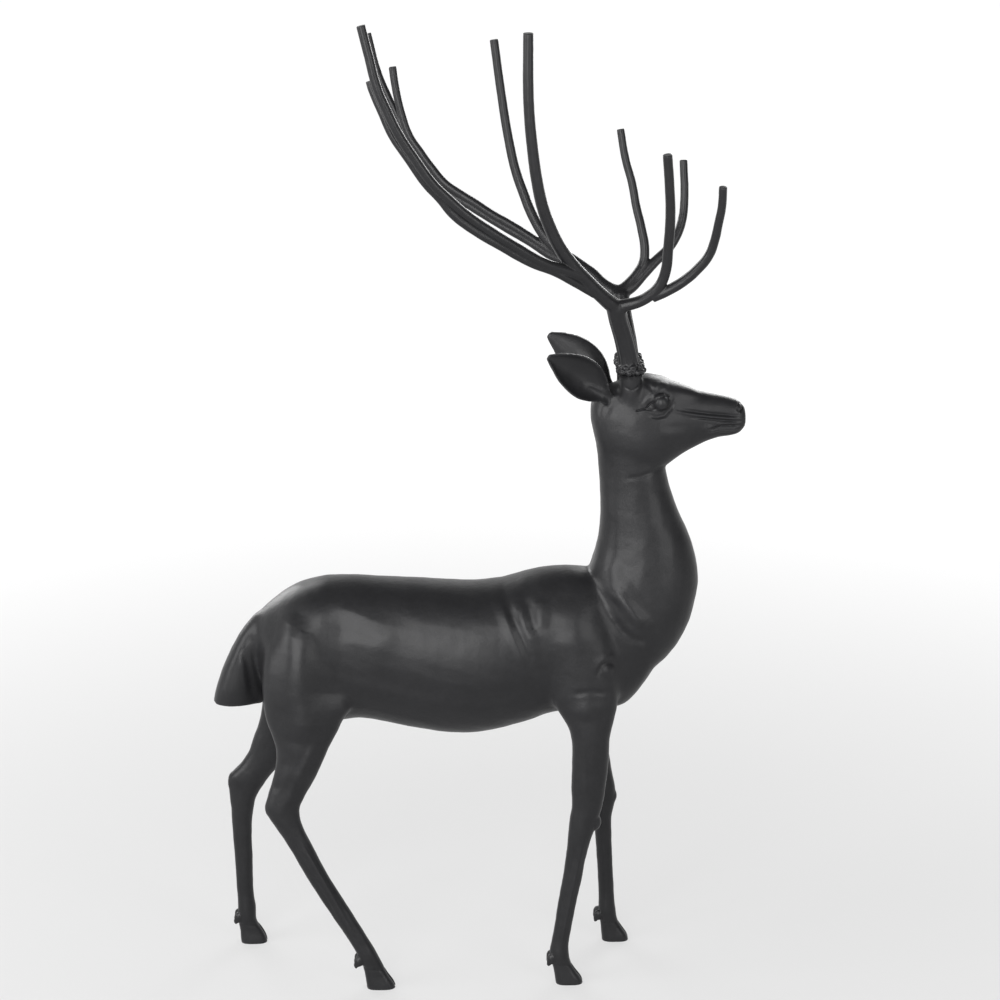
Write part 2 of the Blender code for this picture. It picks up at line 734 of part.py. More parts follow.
def add_rod(name, points, start, end, side, collection):
    """One rod as a mesh: a smooth curve with a radius that falls from start to end."""
    curve = bpy.data.curves.new(name, "CURVE")
    curve.dimensions = "3D"
    curve.bevel_depth = 1.0
    curve.bevel_resolution = 3
    curve.resolution_u = 6
    curve.use_fill_caps = True
    spline = curve.splines.new("BEZIER")
    spline.bezier_points.add(len(points) - 1)
    for i, (x, out, z) in enumerate(points):
        point = spline.bezier_points[i]
        point.co = Vector((x, side * out, z)) * UNIT
        point.handle_left_type = "AUTO"
        point.handle_right_type = "AUTO"
        point.radius = start + (end - start) * (i / (len(points) - 1)) ** ROD_TAPER
    item = new_object(name, curve, collection)
    return evaluated_mesh(item)


def build_antler(name, side, stem, rods, collection, cutters):
    """Burr, stem and five tines as one piece, seated on its boss."""
    bm = bmesh.new()
    meshes = [add_rod("stem", stem, STEM_BASE, STEM_TOP, side, collection)]
    for start, end, points in rods:
        meshes.append(add_rod("rod", points, start * UNIT, end * UNIT, side, collection))
    for mesh in meshes:
        bm.from_mesh(mesh)
        bpy.data.meshes.remove(mesh)
    bmesh.ops.remove_doubles(bm, verts=bm.verts, dist=0.00001)
    frame = seat_frame(side)
    bead_ring = SEAT_RADIUS - BEAD_INSET
    for i in range(BEADS):
        angle = 2 * math.pi * i / BEADS
        place = Vector((bead_ring * math.cos(angle), bead_ring * math.sin(angle), BEAD_RISE))
        made = bmesh.ops.create_uvsphere(bm, u_segments=16, v_segments=12, radius=BEAD_RADIUS)
        bmesh.ops.translate(bm, vec=frame @ place, verts=made["verts"])
    disc = bmesh.ops.create_cone(
        bm,
        cap_ends=True,
        segments=RING_POINTS,
        radius1=bead_ring,
        radius2=bead_ring,
        depth=BURR_DEPTH,
    )
    bmesh.ops.transform(bm, matrix=frame, verts=disc["verts"])
    mesh = grained(name, bm, ANTLER_GRAIN, 2, collection)
    swell_out(mesh, ANTLER_REGAIN)
    mesh.shade_smooth()
    item = new_object(name, mesh, collection)
    size = (6 * SEAT_RADIUS, 6 * SEAT_RADIUS, FOOT_SPILL)
    drop = Matrix.Translation((0, 0, SEAT_GAP - FOOT_SPILL / 2))
    cutter = add_cutter(f"foot_cut_{name}", frame @ drop, size, cutters)
    thin_out(item, ANTLER_FACES, [cutter])
    return item


def centre_on_origin(items, cutters):
    """Move the whole so that the ground under the middle of its box is the origin."""
    bpy.context.view_layer.update()
    graph = bpy.context.evaluated_depsgraph_get()
    corners = []
    for item in items:
        corners += [item.matrix_world @ Vector(c) for c in item.evaluated_get(graph).bound_box]
    low = Vector([min(c[i] for c in corners) for i in range(3)])
    high = Vector([max(c[i] for c in corners) for i in range(3)])
    middle = (low + high) / 2
    root = bpy.data.objects.new("stag", None)
    bpy.context.scene.collection.objects.link(root)
    root.location = (-middle.x, -middle.y, -GROUND * UNIT)
    for item in list(items) + list(cutters.objects):
        item.parent = root
    bpy.context.view_layer.update()


def main():
    """Build the stag."""
    clear_scene()
    parts = new_collection("deer_sculpture")
    cutters = new_collection("cutters")
    lacquer = new_material("black_lacquer_body", BLACK, BODY_SHEEN)
    lacquer_right = new_material("black_lacquer_antler_right", BLACK, ANTLER_SHEEN)
    lacquer_left = new_material("black_lacquer_antler_left", BLACK, ANTLER_SHEEN)
    body = build_body(parts, cutters)
    body.data.materials.append(lacquer)
    right = build_antler("antler_right", RIGHT, RIGHT_STEM, RIGHT_RODS, parts, cutters)
    right.data.materials.append(lacquer_right)
    left = build_antler("antler_left", LEFT, LEFT_STEM, LEFT_RODS, parts, cutters)
    left.data.materials.append(lacquer_left)
    centre_on_origin([body, right, left], cutters)


main()
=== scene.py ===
"""Looks of a standing stag in satin black cast metal: fine surfaces and paint over its solids.

Shapes are given in millimetres among the stations of the casting: x towards the muzzle, y to the
stag's left, z up. The casting's soles stand at the level SOLE, and SHIFT carries it to the frame.
"""

import logging
import math
from dataclasses import dataclass
from enum import Enum
from typing import Any, Iterable, Sequence

import bmesh
import bpy
import numpy as np
from mathutils import Matrix, Vector


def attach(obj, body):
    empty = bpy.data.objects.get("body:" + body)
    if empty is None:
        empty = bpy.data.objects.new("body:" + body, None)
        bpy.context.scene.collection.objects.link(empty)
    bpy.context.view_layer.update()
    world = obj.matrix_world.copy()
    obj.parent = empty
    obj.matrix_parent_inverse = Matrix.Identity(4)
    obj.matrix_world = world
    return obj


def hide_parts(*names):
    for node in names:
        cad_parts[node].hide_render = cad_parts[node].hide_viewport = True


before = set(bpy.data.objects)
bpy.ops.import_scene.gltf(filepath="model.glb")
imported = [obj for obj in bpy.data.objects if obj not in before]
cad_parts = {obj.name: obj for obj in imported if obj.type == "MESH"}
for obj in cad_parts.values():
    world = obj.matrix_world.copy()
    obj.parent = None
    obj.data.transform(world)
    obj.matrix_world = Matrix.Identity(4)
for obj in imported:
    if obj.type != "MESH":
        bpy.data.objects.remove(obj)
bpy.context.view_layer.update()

LOG = logging.getLogger("stag")

MM = 0.001
SHIFT = np.array([29.7, -4.6, -4.2])
SOLE = 4.2
RING_POINTS = 88
LUMP_MERIDIANS = 36
LUMP_PARALLELS = 24
STATION_STEPS = 8
SMALL_WAVES = 0.6
ARC_POINTS = 14
MIX_A, MIX_B, MIX_RESULT = 6, 7, 2

Row = Sequence[float]
Path = Sequence[tuple[float, float]]


class Side(Enum):
    """Which flank of the casting a shape is on."""

    RIGHT = -1
    LEFT = 1
    BOTH = 0


def bell(share: np.ndarray) -> np.ndarray:
    """One at nought, falling smoothly to nothing at one."""
    return 0.5 + 0.5 * np.cos(math.pi * np.clip(share, 0, 1))


def flow(rows: Sequence[Row], steps: int) -> np.ndarray:
    """Smooth rows between stations whose first number rises.

    Args:
        rows: the stations.
        steps: rows from one station to the next.

    Returns:
        The denser rows.
    """
    table = np.array(rows, float)
    at = table[:, 0]
    slope = np.gradient(table, at, axis=0)
    made = [table[0]]
    for low in range(len(at) - 1):
        high = low + 1
        span = at[high] - at[low]
        for t in np.arange(1, steps + 1) / steps:
            made.append(
                table[low] * (2 * t**3 - 3 * t**2 + 1)
                + slope[low] * span * (t**3 - 2 * t**2 + t)
                + table[high] * (3 * t**2 - 2 * t**3)
                + slope[high] * span * (t**3 - t**2)
            )
    return np.array(made)


def oval(power: float) -> tuple[np.ndarray, np.ndarray]:
    """Points round a unit oval.

    Args:
        power: 2 for an ellipse, more for a squarer one.

    Returns:
        The two coordinates of the points.
    """
    angle = np.linspace(0, 2 * math.pi, RING_POINTS, endpoint=False)
    across = np.sign(np.cos(angle)) * np.abs(np.cos(angle)) ** (2 / power)
    up = np.sign(np.sin(angle)) * np.abs(np.sin(angle)) ** (2 / power)
    return across, up


class Clay:
    """Closed shapes that are joined into one surface, and that surface as it is carved."""

    def __init__(self, name: str) -> None:
        """Start with nothing.

        Args:
            name: what the surface is called while it is worked on.
        """
        self.name = name
        self.bm = bmesh.new()
        self.mesh: bpy.types.Mesh | None = None

    def add_rings(self, rings: Sequence[np.ndarray]) -> None:
        """Add a closed loft.

        Args:
            rings: loops with the same number of points, in millimetres.
        """
        loops = [[self.bm.verts.new(Vector(p) * MM) for p in ring] for ring in rings]
        count = len(loops[0])
        faces = []
        for low, high in zip(loops, loops[1:]):
            for i in range(count):
                j = (i + 1) % count
                faces.append(self.bm.faces.new((low[i], low[j], high[j], high[i])))
        faces.append(self.bm.faces.new(list(reversed(loops[0]))))
        faces.append(self.bm.faces.new(loops[-1]))
        bmesh.ops.recalc_face_normals(self.bm, faces=faces)

    def add_lump(self, centre: Row, radii: Row) -> None:
        """Add an egg.

        Args:
            centre: its middle, in millimetres.
            radii: along x, y and z.
        """
        lump = bmesh.new()
        bmesh.ops.create_uvsphere(
            lump, u_segments=LUMP_MERIDIANS, v_segments=LUMP_PARALLELS, radius=MM
        )
        bmesh.ops.scale(lump, vec=Vector(radii), verts=lump.verts)
        bmesh.ops.translate(lump, vec=Vector(centre) * MM, verts=lump.verts)
        self.take(lump)

    def add_drum(self, place: Matrix, foot: float, top: float, low: float, high: float) -> None:
        """Add a turned drum.

        Args:
            place: its frame, in metres; the drum stands along its Z axis.
            foot: radius at its lower end, in millimetres.
            top: radius at its upper end.
            low: where it starts along the axis.
            high: where it ends.
        """
        drum = bmesh.new()
        bmesh.ops.create_cone(
            drum,
            cap_ends=True,
            segments=RING_POINTS,
            radius1=foot * MM,
            radius2=top * MM,
            depth=(high - low) * MM,
        )
        bmesh.ops.translate(drum, vec=Vector((0, 0, (low + high) / 2 * MM)), verts=drum.verts)
        bmesh.ops.transform(drum, matrix=place, verts=drum.verts)
        self.take(drum)

    def take(self, shape: bmesh.types.BMesh) -> None:
        """Add a shape built on its own, which keeps the work on it short.

        Args:
            shape: the closed shape; it is freed.
        """
        mesh = bpy.data.meshes.new("shape")
        shape.to_mesh(mesh)
        shape.free()
        self.add_mesh(mesh)

    def add_mesh(self, mesh: bpy.types.Mesh) -> None:
        """Add a closed mesh and remove it from the file."""
        self.bm.from_mesh(mesh)
        bpy.data.meshes.remove(mesh)

    def join(self, grain: float) -> None:
        """Wrap one surface round all the shapes.

        Args:
            grain: cell of the surface, in millimetres.
        """
        raw = bpy.data.meshes.new(self.name)
        self.bm.to_mesh(raw)
        self.bm.free()
        self.mesh = self.through(raw, "REMESH", mode="VOXEL", voxel_size=grain * MM)

    def through(self, mesh: bpy.types.Mesh, kind: str, **settings: Any) -> bpy.types.Mesh:
        """A mesh as one modifier leaves it.

        Args:
            mesh: what goes in; it is removed.
            kind: the modifier's type.
            settings: its values.

        Returns:
            The new mesh.
        """
        item = bpy.data.objects.new(self.name, mesh)
        bpy.context.scene.collection.objects.link(item)
        modifier = item.modifiers.new(kind.lower(), kind)
        for key, value in settings.items():
            setattr(modifier, key, value)
        bpy.context.view_layer.update()
        graph = bpy.context.evaluated_depsgraph_get()
        made = bpy.data.meshes.new_from_object(item.evaluated_get(graph))
        bpy.data.objects.remove(item)
        bpy.data.meshes.remove(mesh)
        return made

    def points(self) -> np.ndarray:
        """Read where the surface is.

        Returns:
            Places of its points, in millimetres.
        """
        out = np.empty(len(self.mesh.vertices) * 3, np.float32)
        self.mesh.vertices.foreach_get("co", out)
        return out.reshape(-1, 3).astype(float) / MM

    def normals(self) -> np.ndarray:
        """Read which way the surface faces.

        Returns:
            Outward directions at its points.
        """
        out = np.empty(len(self.mesh.vertices) * 3, np.float32)
        self.mesh.vertex_normals.foreach_get("vector", out)
        return out.reshape(-1, 3).astype(float)

    def put(self, points: np.ndarray) -> None:
        """Move the surface's points to places in millimetres."""
        self.mesh.vertices.foreach_set("co", (points * MM).astype(np.float32).ravel())
        self.mesh.update()

    def soften(self, rounds: int, weight: np.ndarray | float = 1.0) -> None:
        """Even the surface out.

        Args:
            rounds: how many times each point moves halfway to the middle of its neighbours.
            weight: share of that move, for all points or for each.
        """
        edges = np.empty(len(self.mesh.edges) * 2, np.int32)
        self.mesh.edges.foreach_get("vertices", edges)
        a, b = edges[::2], edges[1::2]
        points = self.points()
        count = len(points)
        near = np.bincount(a, minlength=count) + np.bincount(b, minlength=count)
        move = np.broadcast_to(np.asarray(weight, float) * 0.5, (count,))
        for _ in range(rounds):
            for axis in range(3):
                value = points[:, axis]
                total = np.bincount(a, value[b], count) + np.bincount(b, value[a], count)
                points[:, axis] = value + move * (total / near - value)
        self.put(points)

    def grow(self, thickness: float) -> None:
        """Move the whole surface outwards by a thickness in millimetres."""
        self.put(self.points() + self.normals() * thickness)

    def thin(self, triangles: int) -> None:
        """Bring the surface under a number of triangles.

        Args:
            triangles: the number.
        """
        now = sum(len(p.vertices) - 2 for p in self.mesh.polygons)
        if now > triangles:
            self.mesh = self.through(
                self.mesh, "DECIMATE", ratio=triangles / now, use_collapse_triangulate=True
            )

    @staticmethod
    def shell_round(start: bmesh.types.BMVert) -> set[bmesh.types.BMVert]:
        """Find the surface that a point is on.

        Args:
            start: the point.

        Returns:
            Every point that edges join to it, and itself.
        """
        shell, queue = {start}, [start]
        while queue:
            vert = queue.pop()
            for edge in vert.link_edges:
                other = edge.other_vert(vert)
                if other not in shell:
                    shell.add(other)
                    queue.append(other)
        return shell

    def drop_specks(self) -> None:
        """Keep the main surface and remove the specks apart from it."""
        bm = bmesh.new()
        bm.from_mesh(self.mesh)
        seen: set[bmesh.types.BMVert] = set()
        largest: set[bmesh.types.BMVert] = set()
        for start in bm.verts:
            if start not in seen:
                shell = self.shell_round(start)
                seen |= shell
                largest = max(largest, shell, key=len)
        specks = [vert for vert in bm.verts if vert not in largest]
        bmesh.ops.delete(bm, geom=specks, context="VERTS")
        bm.to_mesh(self.mesh)
        bm.free()

    def refine(self, boxes: Sequence[Row]) -> None:
        """Halve the cells of the surface inside some boxes of the side view.

        Args:
            boxes: lowest x, lowest z, highest x, highest z of each, in millimetres.
        """
        points = self.points()
        inside = np.zeros(len(points), bool)
        for x0, z0, x1, z1 in boxes:
            hit = (points[:, 0] > x0) & (points[:, 0] < x1)
            inside |= hit & (points[:, 2] > z0) & (points[:, 2] < z1)
        bm = bmesh.new()
        bm.from_mesh(self.mesh)
        edges = [e for e in bm.edges if inside[e.verts[0].index] and inside[e.verts[1].index]]
        bmesh.ops.subdivide_edges(bm, edges=edges, cuts=1, use_grid_fill=True)
        bm.to_mesh(self.mesh)
        bm.free()

    def cut_flat(self, place: Matrix) -> None:
        """Take away what lies under a plane and close the cut.

        Args:
            place: a frame in metres whose Z axis points to what stays.
        """
        bm = bmesh.new()
        bm.from_mesh(self.mesh)
        made = bmesh.ops.bisect_plane(
            bm,
            geom=bm.verts[:] + bm.edges[:] + bm.faces[:],
            plane_co=place.translation,
            plane_no=place.to_3x3() @ Vector((0, 0, -1)),
            clear_outer=True,
        )
        rim = [g for g in made["geom_cut"] if isinstance(g, bmesh.types.BMEdge)]
        bmesh.ops.holes_fill(bm, edges=rim, sides=0)
        bm.to_mesh(self.mesh)
        bm.free()

    def show(self, name: str) -> bpy.types.Object:
        """Put the finished surface in the scene, in its place in the frame.

        Args:
            name: the object's name.

        Returns:
            The object.
        """
        self.put(self.points() + SHIFT)
        self.mesh.name = name
        self.mesh.shade_smooth()
        item = bpy.data.objects.new(name, self.mesh)
        bpy.context.scene.collection.objects.link(item)
        return item


@dataclass(frozen=True)
class Upright:
    """A form with upright sections: x, top, bottom, half width."""

    rows: Sequence[Row]
    power: float

    def add_to(self, clay: Clay) -> None:
        """Add the form to a casting.

        Args:
            clay: the casting.
        """
        across, up = oval(self.power)
        rings = []
        for x, top, bottom, half in flow(self.rows, STATION_STEPS):
            level = (top + bottom) / 2 + (top - bottom) / 2 * up
            rings.append(np.stack([np.full_like(level, x), half * across, level], 1))
        clay.add_rings(rings)


@dataclass(frozen=True)
class Level:
    """A form with level sections: z, back, front, half width. A pinch narrows the front."""

    rows: Sequence[Row]
    power: float
    pinch: float = 0.0

    def add_to(self, clay: Clay) -> None:
        """Add the form to a casting.

        Args:
            clay: the casting.
        """
        along, across = oval(self.power)
        rings = []
        for z, back, front, half in flow(self.rows, STATION_STEPS):
            x = (back + front) / 2 + (front - back) / 2 * along
            y = half * across * (1 - self.pinch * along)
            rings.append(np.stack([x, y, np.full_like(x, z)], 1))
        clay.add_rings(rings)


@dataclass(frozen=True)
class Hoof:
    """Sizes of a hoof, with its cleft and coronet line, and of the dew claws above it.

    The room is how far a hoof's carving may reach along, across and up.
    """

    shaft_power: float = 2.0
    squareness: float = 1.3
    square_from: float = 32.0
    square_over: float = 14.0
    half_length: float = 20.0
    room: Row = (40.0, 24.0, 44.0)
    line_width: float = 2.6
    crown: float = 30.0
    crown_fall: float = 0.12
    crown_depth: float = 0.4
    cleft_fade: float = 10.0
    cleft_turn: float = 1.6
    cleft_front: float = 3.4
    cleft_back: float = 2.0
    claw_spread: float = 6.0
    claw_radii: Row = (5.8, 4.2, 7.4)
    tip_back: float = 3.4
    tip_drop: float = 5.4
    tip_radii: Row = (3.0, 3.0, 4.6)


@dataclass(frozen=True)
class Leg:
    """One leg: z, middle, half depth, distance from the middle plane, half width."""

    side: Side
    rows: Sequence[Row]
    hoof_front: float
    claw: Row
    joint: Row
    joint_radii: Row
    hoof: Hoof = Hoof()

    def add_to(self, clay: Clay) -> None:
        """Add the leg's shaft, which is squarer at the hoof.

        Args:
            clay: the casting.
        """
        hoof = self.hoof
        rings = []
        for z, middle, depth, out, half in flow(self.rows, STATION_STEPS):
            square = min(max((hoof.square_from - z) / hoof.square_over, 0), 1)
            along, across = oval(hoof.shaft_power + hoof.squareness * square)
            x = middle + depth * along
            y = self.side.value * out + half * across
            rings.append(np.stack([x, y, np.full_like(x, z)], 1))
        clay.add_rings(rings)

    def add_details(self, clay: Clay) -> None:
        """Add the knee or hock bump and the pair of dew claws.

        Args:
            clay: the casting.
        """
        hoof = self.hoof
        x, out, z = self.joint
        clay.add_lump((x, self.side.value * out, z), self.joint_radii)
        x, out, z = self.claw
        for spread in (-hoof.claw_spread, hoof.claw_spread):
            y = self.side.value * out + spread
            clay.add_lump((x, y, z), hoof.claw_radii)
            clay.add_lump((x - hoof.tip_back, y, z - hoof.tip_drop), hoof.tip_radii)

    def cleave(self, points: np.ndarray, normals: np.ndarray) -> None:
        """Cut the cleft and the coronet line into the hoof.

        Args:
            points: places of the surface, changed in place.
            normals: its outward directions.
        """
        hoof = self.hoof
        out = self.side.value * self.rows[0][3]
        along = points[:, 0] - self.hoof_front + hoof.half_length
        near = (np.abs(points[:, 1] - out) < hoof.room[1]) & (points[:, 2] < hoof.room[2])
        near &= np.abs(along) < hoof.room[0]
        y, z = points[near, 1], points[near, 2]
        facing = normals[near]
        across = bell(np.abs(y - out) / hoof.line_width)
        cleft = across * np.clip((hoof.crown - z) / hoof.cleft_fade, 0, 1)
        front = cleft * np.clip(facing[:, 0] * hoof.cleft_turn, 0, 1) * hoof.cleft_front
        back = cleft * np.clip(-facing[:, 0] * hoof.cleft_turn, 0, 1) * hoof.cleft_back
        crown = hoof.crown - along[near] * hoof.crown_fall
        ring = bell(np.abs(z - crown) / hoof.line_width) * hoof.crown_depth
        points[near, 0] += back - front
        points[near] -= facing * ring[:, None]


@dataclass(frozen=True)
class Stroke:
    """A line of carving in the side view: its corners, half width and height.

    It reaches from one distance off the middle plane to another, and keeps a share of its height
    at its ends.
    """

    path: Path
    width: float
    height: float
    side: Side = Side.BOTH
    reach: tuple[float, float] = (0.0, 400.0)
    end: float = 0.25
    end_slope: float = 5.0

    def lift(self, points: np.ndarray, facing: np.ndarray) -> np.ndarray:
        """How far the line moves each point along its normal.

        Args:
            points: places of the surface.
            facing: how squarely each point faces its own flank, 0 to 1.

        Returns:
            The moves, in millimetres.
        """
        line = np.array(self.path, float)
        low = line.min(0) - self.width
        high = line.max(0) + self.width
        out = np.abs(points[:, 1])
        hit = (points[:, 0] > low[0]) & (points[:, 0] < high[0]) & (facing > 0)
        hit &= (points[:, 2] > low[1]) & (points[:, 2] < high[1])
        hit &= (out > self.reach[0]) & (out < self.reach[1])
        if self.side is not Side.BOTH:
            hit &= np.sign(points[:, 1]) == self.side.value
        move = np.zeros(len(points))
        flat = points[hit][:, [0, 2]]
        away, along = self.measure(flat, line)
        ends = np.clip(np.minimum(along, 1 - along) * self.end_slope, self.end, 1)
        move[hit] = bell(away / self.width) * ends * self.height * facing[hit]
        return move

    @staticmethod
    def measure(flat: np.ndarray, line: np.ndarray) -> tuple[np.ndarray, np.ndarray]:
        """Measure points against the line.

        Args:
            flat: points in the side view.
            line: the corners of the line.

        Returns:
            Distance from the line, and share of its length.
        """
        best = np.full(len(flat), np.inf)
        along = np.zeros(len(flat))
        lengths = np.linalg.norm(np.diff(line, axis=0), axis=1)
        done = 0.0
        for start, end, length in zip(line, line[1:], lengths):
            run = end - start
            off = flat - start
            t = np.clip((off @ run) / length**2, 0, 1)
            away = np.linalg.norm(off - t[:, None] * run, axis=1)
            nearer = away < best
            best[nearer] = away[nearer]
            along[nearer] = (done + t[nearer] * length) / lengths.sum()
            done += length
        return best, along


@dataclass(frozen=True)
class Swell:
    """A soft rise or hollow: its middle, its reach along x, y and z, and its height."""

    centre: Row
    reach: Row
    height: float
    side: Side = Side.BOTH

    def share(self, points: np.ndarray) -> np.ndarray:
        """Fade the swell out over its reach.

        Args:
            points: places of the surface.

        Returns:
            How much of the swell each point takes, 0 to 1.
        """
        x, out, z = self.centre
        far = ((points[:, 0] - x) / self.reach[0]) ** 2 + ((points[:, 2] - z) / self.reach[2]) ** 2
        far += ((np.abs(points[:, 1]) - out) / self.reach[1]) ** 2
        made = bell(np.sqrt(far))
        if self.side is not Side.BOTH:
            made *= np.sign(points[:, 1]) == self.side.value
        return made


def ring_path(x: float, z: float, radius: float, start: float, end: float) -> Path:
    """Points of an arc in the side view.

    Args:
        x: its middle.
        z: its middle.
        radius: its radius.
        start: angle of its start in degrees, from the muzzle's direction, anticlockwise.
        end: angle of its end.

    Returns:
        The points.
    """
    turns = np.radians(np.linspace(start, end, ARC_POINTS))
    return [(x + radius * math.cos(a), z + radius * math.sin(a)) for a in turns]


@dataclass(frozen=True)
class Ear:
    """An ear, a cupped leaf along its axis: x, distance out, z, half width, cup depth.

    Its wall is thicker towards the edge, where a rim rolls over the cup.
    """

    rows: Sequence[Row] = (
        (132, 24, 754, 7, 3),
        (124, 29, 760, 10, 6),
        (116, 33, 768, 17, 10),
        (106, 38, 778, 23, 12),
        (94, 43, 789, 24, 12),
        (80, 48, 799, 20, 9),
        (67, 52, 808, 12, 5),
        (55, 55, 815, 3, 1),
    )
    facing: Row = (0.28, -0.94, 0.05)
    steps: int = 6
    wall: float = 4.2
    edge: float = 0.75
    edge_power: int = 6
    rim: float = 1.1
    rim_power: int = 8
    inner: float = 0.97
    left_shift: Row = (5, 0, 1)

    def add_to(self, clay: Clay, side: Side) -> None:
        """Add one ear.

        Args:
            clay: the casting.
            side: which flank it is on.
        """
        index = np.arange(len(self.rows), dtype=float)
        table = flow([(i, *row) for i, row in zip(index, self.rows)], self.steps)[:, 1:]
        table[:, 1] *= -1
        run = np.gradient(table[:, :3], axis=0)
        facing = Vector(self.facing).normalized()
        share = np.linspace(-1, 1, RING_POINTS // 2)
        rings = []
        for row, way in zip(table, run):
            centre = Vector(row[:3])
            half, cup = row[3], row[4]
            across = Vector(way).cross(facing).normalized()
            thick = self.wall / 2 * (1 + self.edge * np.abs(share) ** self.edge_power)
            roll = self.rim * np.abs(share) ** self.rim_power
            outer = [
                centre + across * (half * s) - facing * (cup * (1 - s * s) + w - r)
                for s, w, r in zip(share, thick, roll)
            ]
            inner = [
                centre + across * (self.inner * half * s) - facing * (cup * (1 - s * s) - w - r)
                for s, w, r in zip(share[::-1], thick, roll)
            ]
            ring = np.array([tuple(p) for p in outer + inner])
            if side is Side.LEFT:
                ring = ring * (1, -1, 1) + np.array(self.left_shift, float)
            rings.append(ring)
        clay.add_rings(rings)


@dataclass(frozen=True)
class Seat:
    """The flat face that carries an antler, and the gap of the seam above it."""

    x: float = 155.5
    z: float = 785.8
    spread: float = 20.5
    radius: float = 14.5
    lean_out: float = 1.5
    lean_back: float = 0.0
    gap: float = 0.3

    def place(self, side: Side, lift: float = 0.0) -> Matrix:
        """The seat's frame.

        Args:
            side: which antler.
            lift: how far above the face, in millimetres.

        Returns:
            Its origin and axes, in metres, before SHIFT.
        """
        turn = Matrix.Rotation(-side.value * math.radians(self.lean_out), 4, "X")
        turn = turn @ Matrix.Rotation(-math.radians(self.lean_back), 4, "Y")
        spot = Vector((self.x, side.value * self.spread, self.z)) * MM
        return Matrix.Translation(spot) @ turn @ Matrix.Translation((0, 0, lift * MM))


SHOULDER_ROWS = (
    (400, 100, 43.0, 50, 24.0),
    (440, 94, 46.0, 47, 25.0),
    (475, 90, 40.0, 44, 22.0),
    (505, 86, 26.0, 38, 15.0),
)
HIP_ROWS = ((460, -232, 48.0, 44, 25.0), (488, -228, 32.0, 38, 16.0))


